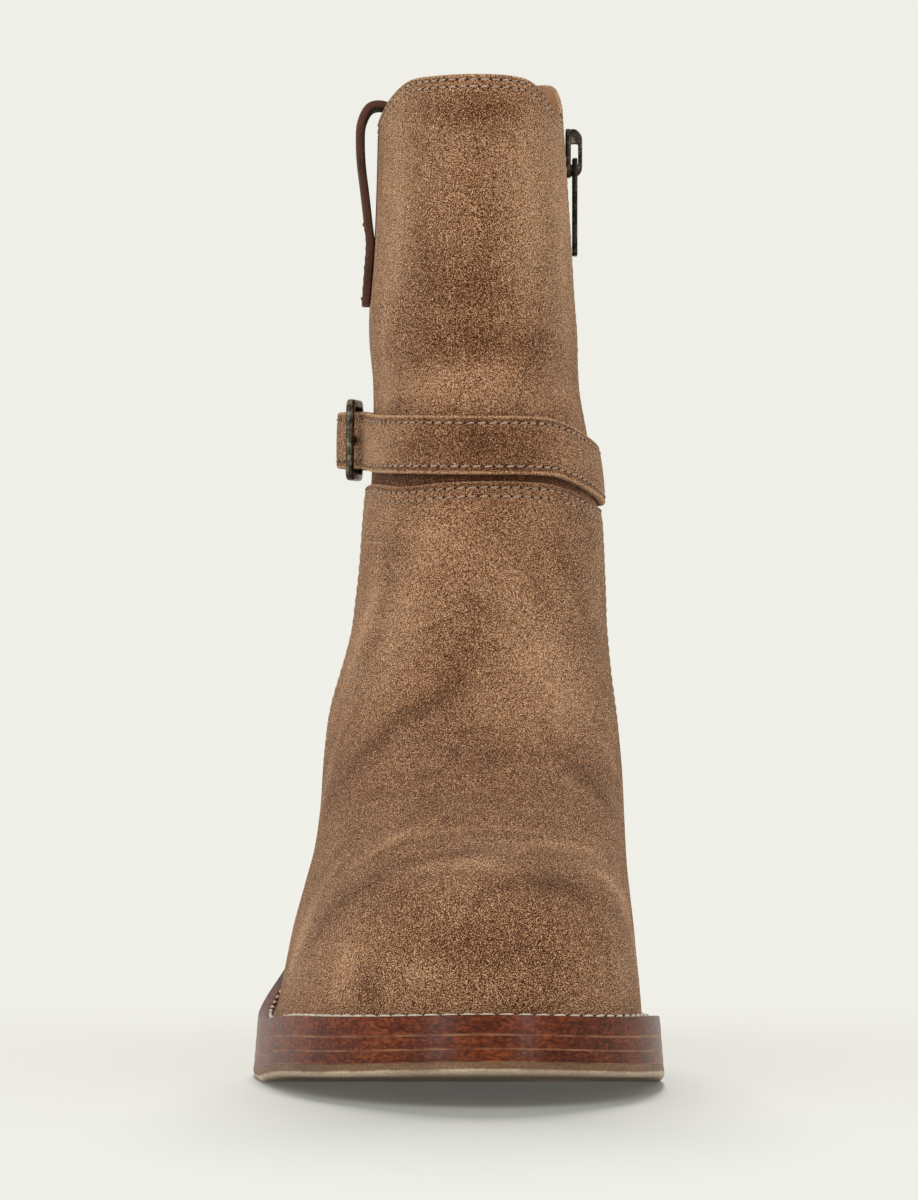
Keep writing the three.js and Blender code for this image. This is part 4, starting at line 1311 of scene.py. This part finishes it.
thread = {
    "pitch": 3.0,
    "length": 2.35,
    "width": 0.55,
    "height": 0.56,
    "hole": (1.05, 0.66, 0.5),
    "sink": 0.1,
    "lean": 0.12,
    "prick": 0.05,
}


def sewn(name, lines, pitch=None, material=None, size=None, holes=True, wobble=0.06):
    pitch = pitch or thread["pitch"]
    size = size or (thread["length"], thread["width"], thread["height"])
    runs = []
    for points, normals in lines:
        spots, outward, ahead = spacedRun(points + normals * thread["sink"], normals, pitch)
        runs.append((spots, outward, unitVector(ahead + thread["lean"] * np.cross(outward, ahead))))
    makeRepeated(name, runs, size, material or threadLook, wobble=wobble)
    # dark blobs of painted shade at the needle holes
    if holes:
        pricks = [spacedRun(points - normals * thread["prick"], normals, pitch, 1) for points, normals in lines]
        makeRepeated(name + "_holes", pricks, thread["hole"], holeShadeLook, wobble=0)


def upperLine(angle, row, distance):
    angle, row = paired(angle, row)
    return upperOffset(angle, row, distance), upperNormal(angle, row)


trough = -upper["troughDepth"]
slotTop, _ = slotHalf(np.array([topRow - 0.02]))
lines = []
for drop in upper["collarStitches"]:
    start = zipAngle + slotTop[0] + 2.2 / float(roundSpeed(zipAngle, topRow))
    angles = np.linspace(start, turn + 2 * zipAngle - start, 700)
    lines.append(upperLine(angles, rowBelowCollar(angles, drop), trough))
sewn("collar_stitches", lines)

stitchLow = upper["zipBottom"] + upper["stitchTurn"]
zipLow = rowAtHeight(zipAngle, stitchLow)
rows = np.linspace(rowBelowCollar(zipAngle, upper["stitchTop"]), zipLow, 300)
half, _ = slotHalf(rows)
out = half + upper["zipStitch"] / roundSpeed(zipAngle, rows)
bow = np.linspace(0, math.pi, 40)[1:-1]
bowRows = rowAtHeight(zipAngle, stitchLow - upper["stitchBow"] * np.sin(bow))
bowAngles = zipAngle - out[-1] * np.cos(bow)
edgeAngles = np.concatenate([zipAngle - out, bowAngles, (zipAngle + out)[::-1]])
edgeRows = np.concatenate([rows, bowRows, rows[::-1]])
sewn("zip_edge_stitches", [upperLine(edgeAngles, edgeRows, trough)])

lines = []
for side in (-1, 1):
    rows = np.linspace(0.35, rowBelowCollar(math.pi, 6.6), 400)
    lines.append(upperLine(math.pi + side * upper["seamAside"] / roundSpeed(math.pi, rows), rows, 0))
sewn("back_seam_stitches", lines, holes=False)

vampLow, vampHigh = (rad(d) for d in vamp["sides"])
lines = []
for inset in vamp["stitches"]:
    height = fit + vamp["thickness"] + trough
    angles = np.linspace(vampLow, vampHigh, 600)
    speed = roundSpeed(angles, vampTopRow(angles))
    keep = (angles - vampLow) * speed > inset
    keep &= (vampHigh - angles) * speed > inset
    angles = angles[keep]
    level = curveThrough(vampEdge, np.degrees(angles)) * vampTopHeight
    ends = (upperPoint(angles, rowAtHeight(angles, z)) for z in (level, level - 5))
    tall = np.linalg.norm(np.subtract(*ends), axis=-1) / 5
    lines.append(upperLine(angles, rowAtHeight(angles, level - inset / tall), height))
    for side, edge in ((1, vampLow), (-1, vampHigh)):
        rows = np.linspace(0.3, float(vampTopRow(edge, inset + 0.6)), 400)
        angle = edge + side * inset / roundSpeed(edge, rows)
        lines.append(upperLine(angle, rows, height))
sewn("vamp_stitches", lines, material=vampThread)

lines = []
for side in (-1, 1):
    share = side * (1 - strap["stitchInset"] / (strap["width"] / 2))
    angles = np.linspace(strapStart + 4.5 / buckleSpeed, strapEnd, 900)
    distance = (angles - buckleAngle) * buckleSpeed
    points = strapPlace(angles, share, strap["thickness"] - 0.1, 0)
    row = rowAtHeight(angles, strapMiddle(angles) + strap["width"] / 2 * share)
    lines.append((points, upperNormal(angles, row)))
sewn("strap_stitches", lines)

weltStitch = {
    "pitch": 4.5,
    "size": (4.3, 0.95, 0.95),
    "share": 0.5,
    "from": -148,
    "to": 148,
}
angles = rad(np.linspace(weltStitch["from"], weltStitch["to"], 1400))
x, y = solePlan(angles, weltOut(angles) * weltStitch["share"])
seam = np.stack([x, y, soleLevel(y, 1) - 0.05], -1)
sewn("welt_stitches", [(seam, np.tile((0.0, 0.0, 1.0), (len(angles), 1)))],
     weltStitch["pitch"], weltThread, weltStitch["size"], False, 0.04)
print("stitches made")

# Zip: tape and teeth

zipper = {
    "tape": 0.8,
    "toothPitch": 1.35,
    "toothSize": (0.85, 0.85, 2.9),
    "sliderHeight": 13.5,
    "sliderBelowCollar": 2.7,
    "sliderPlate": 1.4,
    "archWidth": 2,
    "archThickness": 1.1,
    "pullLength": 25.5,
    "pullWidth": 6,
    "pullThickness": 1.4,
    "pinRadius": 0.6,
    "pinRise": 4.4,
    "archOpening": 4.7,
    "teethThickness": 0.6,
    "toothAside": 1.05,
    "toothLift": 0.35,
    "hem": 0.05,
}


def makeTape():
    rows = rowStations(260, float(rowAtHeight(zipAngle, upper["zipBottom"] + 0.5)), topRow - 0.04, (90,))
    half = (upper["zipSlot"] / 2 - fit) / roundSpeed(zipAngle, rows)
    share = np.linspace(-1, 1, 25)
    angle = zipAngle + share[:, None] * half
    row = np.broadcast_to(rows, angle.shape)
    hem = zipper["hem"] * (np.abs(share) > 0.7)[:, None]
    outer = upperOffset(angle, row, -wall + zipper["tape"] + hem)
    inner = upperOffset(angle, row, -wall + 0 * row)
    columns, count = outer.shape[:2]
    points = np.concatenate([outer.reshape(-1, 3), inner.reshape(-1, 3)])
    faces = shellFaces(columns, count)
    return makePiece("zip_tape_cloth", points, faces, tapeLook, "zip_tape", ("zip_tape",))


makeTape()
collarAtZip = float(upperPoint(zipAngle, topRow)[2])
sliderTop = collarAtZip - zipper["sliderBelowCollar"]
sliderBottom = sliderTop - zipper["sliderHeight"]
sliderY = float(upperPoint(zipAngle, rowAtHeight(zipAngle, mix(sliderBottom, sliderTop, 0.5)))[1])
teethOuter = -wall + zipper["tape"] + fit + zipper["teethThickness"]
plateInner = float(upperPoint(zipAngle, rowAtHeight(zipAngle, sliderBottom))[0]) + teethOuter + fit
plateOuter = plateInner + zipper["sliderPlate"]
pinX = plateOuter + zipper["pinRadius"] + 0.2 + fit
pinZ = sliderBottom + zipper["pinRise"]


def teethRuns():
    low = rowAtHeight(zipAngle, upper["zipBottom"] + 2)
    high = rowAtHeight(zipAngle, sliderBottom + 1)
    rows = np.linspace(low, high, 500)
    runs = []
    for side in (-1, 1):
        angle = zipAngle + side * zipper["toothAside"] / roundSpeed(zipAngle, rows)
        points, normals = upperLine(angle, rows, -wall + zipper["tape"] + zipper["toothLift"])
        spot, normal, tangent = spacedRun(points, normals, zipper["toothPitch"], 0.25 if side < 0 else 0.75)
        runs.append((spot, np.cross(tangent, normal), tangent))
    return runs


makeRepeated("zip_teeth_row", teethRuns(), zipper["toothSize"], metalLook, "tooth", 0, 3)
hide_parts("zip_teeth")
print("zip made")

# Metal pieces: flat outlines with rounded edges, laid in place by their own axes


def plateMesh(name, outlines, thickness, bevel, place):
    data = bpy.data.curves.new(name, "CURVE")
    data.dimensions = "2D"
    data.fill_mode = "BOTH"
    data.extrude = (thickness / 2 - bevel) * mm
    data.bevel_depth = bevel * mm
    data.bevel_resolution = 3
    data.offset = -bevel * mm
    for outline in outlines:
        spline = data.splines.new("POLY")
        spline.points.add(len(outline) - 1)
        for point, (x, y) in zip(spline.points, outline):
            point.co = (x * mm, y * mm, 0, 1)
        spline.use_cyclic_u = True
    obj = link(name + "_outline", data)
    graph = bpy.context.evaluated_depsgraph_get()
    made = bpy.data.meshes.new_from_object(obj.evaluated_get(graph))
    bpy.data.objects.remove(obj)
    count = len(made.vertices)
    flat = np.zeros(count * 3)
    made.vertices.foreach_get("co", flat)
    origin, right, up, out = (np.array(v, float) for v in place)
    local = flat.reshape(-1, 3) / mm
    moved = origin + local[:, :1] * right + local[:, 1:2] * up + local[:, 2:3] * out
    made.vertices.foreach_set("co", (moved * mm).ravel())
    return made


def joinMeshes(name, meshes, material, replaced=(), body="boot"):
    work = bmesh.new()
    for part in meshes:
        work.from_mesh(part)
    bmesh.ops.remove_doubles(work, verts=work.verts, dist=0.004 * mm)
    bmesh.ops.recalc_face_normals(work, faces=work.faces)
    data = bpy.data.meshes.new(name)
    work.to_mesh(data)
    work.free()
    data.materials.clear()
    data.materials.append(material)
    for polygon in data.polygons:
        polygon.material_index = 0
    data.shade_smooth()
    data.set_sharp_from_angle(angle=math.radians(50))
    return dress(name, data, replaced, body)


def roundedRectangle(width, height, radius, steps, cy=0.0):
    x, y = width / 2 - radius, height / 2 - radius
    made = []
    for dx, dy, start in ((x, -y, -90), (x, y, 0), (-x, y, 90), (-x, -y, 180)):
        for a in np.radians(np.linspace(start, start + 90, steps)):
            made.append((dx + radius * math.cos(a), cy + dy + radius * math.sin(a)))
    return made


def mirrored(points):
    return [(-x, y) for x, y in points[::-1]]


def softened(points, radius, steps=5):
    made = []
    count = len(points)
    for k in range(count):
        before, here, after = (np.array(points[(k + d) % count], float) for d in (-1, 0, 1))
        a = here + unitVector(before - here) * min(radius, np.linalg.norm(before - here) * 0.45)
        b = here + unitVector(after - here) * min(radius, np.linalg.norm(after - here) * 0.45)
        for t in np.linspace(0, 1, steps):
            made.append(tuple((1 - t) ** 2 * a + 2 * t * (1 - t) * here + t * t * b))
    return made


sideways = (0, 1, 0)
outward = (1, 0, 0)
upright = (0, 0, 1)
middleZ = mix(sliderBottom, sliderTop, 0.5)
archLow = pinZ - zipper["pinRadius"] - fit
archHigh = sliderTop - fit
archFoot = sliderBottom + fit
holeHigh = pinZ + zipper["archOpening"]
archOuter = pinX + zipper["pinRadius"] + fit + zipper["archThickness"]


def makeSlider():
    half = zipper["sliderHeight"] / 2
    wing = (upper["zipSlot"] - 4 * fit) / 2
    right = [(wing * 0.72, -half), (wing, -half * 0.1), (wing, half * 0.72), (wing * 0.6, half)]
    ring = [(-wing * 0.72, -half), *right, (0, half * 0.8), *mirrored(right[1:])]
    body = softened(ring, 1.5)
    plate = plateMesh("slider_plate", [body], zipper["sliderPlate"], 0.35,
                      (((plateInner + plateOuter) / 2, sliderY, middleZ), sideways, upright, outward))
    thick = zipper["archThickness"]
    outline = softened([
        (plateOuter - 0.4, archFoot), (archOuter - 1.2, archFoot), (archOuter, archFoot + 1.6),
        (archOuter, archHigh - 1.8), (archOuter - 1.6, archHigh), (plateOuter - 0.4, archHigh)], 1.2)
    inside = softened([
        (plateOuter, archLow), (archOuter - thick, archLow), (archOuter - thick, holeHigh),
        (plateOuter, holeHigh)], 0.5)
    bridge = plateMesh("slider_arch", [outline, inside], zipper["archWidth"], 0.3,
                       ((0, sliderY, 0), outward, upright, (0, -1, 0)))
    return joinMeshes("zip_slider_metal", [plate, bridge], metalLook, ("zip_slider",))


def makePull():
    width = zipper["pullWidth"]
    length = zipper["pullLength"]
    armStart = zipper["archWidth"] / 2 + 0.4
    low = pinZ - sliderBottom + 1.2
    inner = [(armStart, -low - 0.2), (armStart, -0.1), (-armStart, -0.1), (-armStart, -low - 0.2)]
    head = zipper["pinRadius"] + 0.75
    bridgeTop = 0.25
    headTop = 0.85
    right = [(width / 2, head), (width / 2, -low)]
    right += [(x * width, -y * length) for x, y in ((0.38, 0.5), (0.34, 0.8), (0.5, 0.9), (0.46, 1))]
    outline = softened([(-width / 2, head), *right, *mirrored(right[1:])], 1.1)
    outline = [(x, min(y, headTop)) for x, y in outline]
    firstRight = next(k for k, (x, y) in enumerate(outline) if x > 0)
    outline[firstRight:firstRight] = [
        (-armStart, headTop), (-armStart, bridgeTop), (armStart, bridgeTop), (armStart, headTop)]
    hole = roundedRectangle(1.7, 5.5, 0.84, 7, -length * 0.64)
    blade = plateMesh("pull_blade", [outline, softened(inner, 0.5), hole], zipper["pullThickness"], 0.32,
                      ((pinX, sliderY, pinZ), sideways, upright, outward))
    angles = np.linspace(0, turn, 21)[:-1]
    radius = zipper["pinRadius"]
    ring = [(radius * math.cos(a), radius * math.sin(a)) for a in angles]
    pinPlace = ((pinX, sliderY, pinZ), outward, upright, (0, -1, 0))
    pin = plateMesh("pull_pin", [ring], width - 0.8, 0.1, pinPlace)
    return joinMeshes("zip_pull_metal", [blade, pin], pullMetal, ("zip_pull",), "zip_pull")


makeSlider()
makePull()

buckleNormal = upperNormal(buckleAngle, buckleRow)
buckleForward = unitVector(-np.cross((0, 0, 1), buckleNormal))
buckleUp = np.cross(buckleNormal, buckleForward)
lean = math.radians(buckle["tilt"])
buckleRight = buckleForward * math.cos(lean) - buckleNormal * math.sin(lean)
buckleOut = np.cross(buckleRight, buckleUp)
buckleOrigin = upperPoint(buckleAngle, buckleRow) + buckleNormal * rearStandoff / 2
frameBase = fit + strap["thickness"] + fit
frameTop = frameBase + buckle["thickness"]
buckleHeight = strap["width"] + 2 * buckle["play"] + 2 * buckle["bar"]


def makeBuckle():
    bar = buckle["bar"]
    corner = buckle["corner"]
    rings = [
        roundedRectangle(buckle["length"], buckleHeight, corner, 12),
        roundedRectangle(buckle["length"] - 2 * bar, buckleHeight - 2 * bar, corner - bar / 2, 12)]
    middle = buckleOrigin + buckleOut * (frameBase + buckle["thickness"] / 2)
    place = (middle, buckleRight, buckleUp, buckleOut)
    body = plateMesh("buckle_bars", rings, buckle["thickness"], buckle["bevel"], place)
    joinMeshes("buckle_frame_metal", [body], metalLook, ("buckle_frame",))
    barInner = buckle["length"] / 2 - bar
    base = frameBase + fit
    thick = buckle["prongThickness"]
    rest = frameTop + fit
    tip = buckle["length"] / 2 + 0.8
    profile = softened([
        (-barInner + fit, base), (-0.2 * barInner, base), (barInner - 1, rest), (tip, rest),
        (tip, rest + thick * 0.55), (barInner - 2, rest + thick),
        (-barInner * 0.5, base + thick * 1.1), (-barInner + fit, base + thick)], 1.3)
    prong = plateMesh("prong_bar", [profile], buckle["prongWidth"], 0.5,
                      (buckleOrigin, buckleRight, buckleOut, -buckleUp))
    joinMeshes("buckle_prong_metal", [prong], metalLook, ("buckle_prong",))


makeBuckle()
print("buckle made")

# Pull loop: a folded strip of dark leather sewn over the collar on the outer side

loop = {
    "width": 18,
    "thickness": 2,
    "drop": 50,
    "reach": 3.6,
    "edgeRound": 0.7,
}
# side of the wall, share of the reach, height past the collar's edge as a share of the drop
loopTable = np.array([
    (-1, 0, -0.24), (-1, 0, -0.06), (-1, 0, 0.038), (-0.7, 0, 0.066), (0, 0.12, 0.078), (0.65, 0.6, 0.056),
    (1, 0.95, -0.02), (1, 1, -0.12), (1, 0.88, -0.24), (1, 0.64, -0.36), (1, 0.42, -0.47), (1, 0.24, -0.56),
    (1, 0.02, -0.66), (1, 0, -0.8), (1, 0, -1),
])


def smoothPath(points, steps=8):
    made = []
    count = len(points)
    for k in range(count - 1):
        four = [points[max(0, min(count - 1, k + d))] for d in (-1, 0, 1, 2)]
        for s in np.linspace(0, 1, steps, endpoint=False):
            made.append(throughFour(*four, s))
    made.append(points[-1])
    return np.array(made)


def makeLoop():
    middle = rad(-90)
    edge = float(upperPoint(middle, topRow)[2])
    speed = float(roundSpeed(middle, topRow - 0.5))
    near = fit + loop["thickness"] / 2
    path = np.array([
        (side * (wall + near) if side < 0 else side * near + reach * loop["reach"],
         edge + height * loop["drop"])
        for side, reach, height in loopTable])
    path = smoothPath(path)
    forward = unitVector(np.gradient(path, axis=0))
    across = np.stack([-forward[:, 1], forward[:, 0]], 1)
    soft = loop["edgeRound"]
    half = loop["width"] / 2
    thick = loop["thickness"] / 2
    ring = []
    for share in np.linspace(-1, 1, 22):
        w = share * (half - soft)
        ring.append((w, thick + groove(half - abs(w) - 2) * 0.8))

    def corner(side, level, swings):
        x, z = half - soft, thick - soft
        return [(side * (x + soft * math.sin(a)), level * (z + soft * math.cos(a))) for a in swings]

    swings = (0.5, 1.0, 1.57)
    ring += corner(1, 1, swings) + [(half, 0.12), (half, -0.12)] + corner(1, -1, swings[::-1])
    ring += [(w, -thick) for w in np.linspace(half - soft, -half + soft, 12)]
    ring += corner(-1, -1, swings) + [(-half, -0.12), (-half, 0.12)] + corner(-1, 1, swings[::-1])
    ring = np.array(ring)
    angle = middle + ring[:, 0] / speed
    distance = path[:, :1] + across[:, :1] * ring[:, 1]
    height = path[:, 1:] + across[:, 1:] * ring[:, 1]
    angle = np.broadcast_to(angle, distance.shape)
    row = rowAtHeight(angle, np.minimum(height, edge))
    flat = upperNormal(angle, row)
    flat[..., 2] = 0
    points = upperPoint(angle, row) + unitVector(flat) * distance[..., None]
    points[..., 2] = height
    columns, count = points.shape[:2]
    faces = sweepFaces(columns, count)
    makePiece("pull_loop_leather", points, faces, loopLook, "loop_leather", ("pull_loop",), merge=0.004)
    lines = []
    start = int(len(path) * 0.78)
    for w in (-half + 2, half - 2):
        k = int(np.argmin(np.abs(ring[:22, 0] - w)))
        line = points[start:, k]
        lines.append((line, unitVector(flat[start:, k])))
    for k in (len(path) - 3, start):
        lines.append((points[k, 2:20], unitVector(flat[k, 2:20])))
    sewn("loop_stitches", lines, 2.7, loopThread)


makeLoop()
print("loop made")
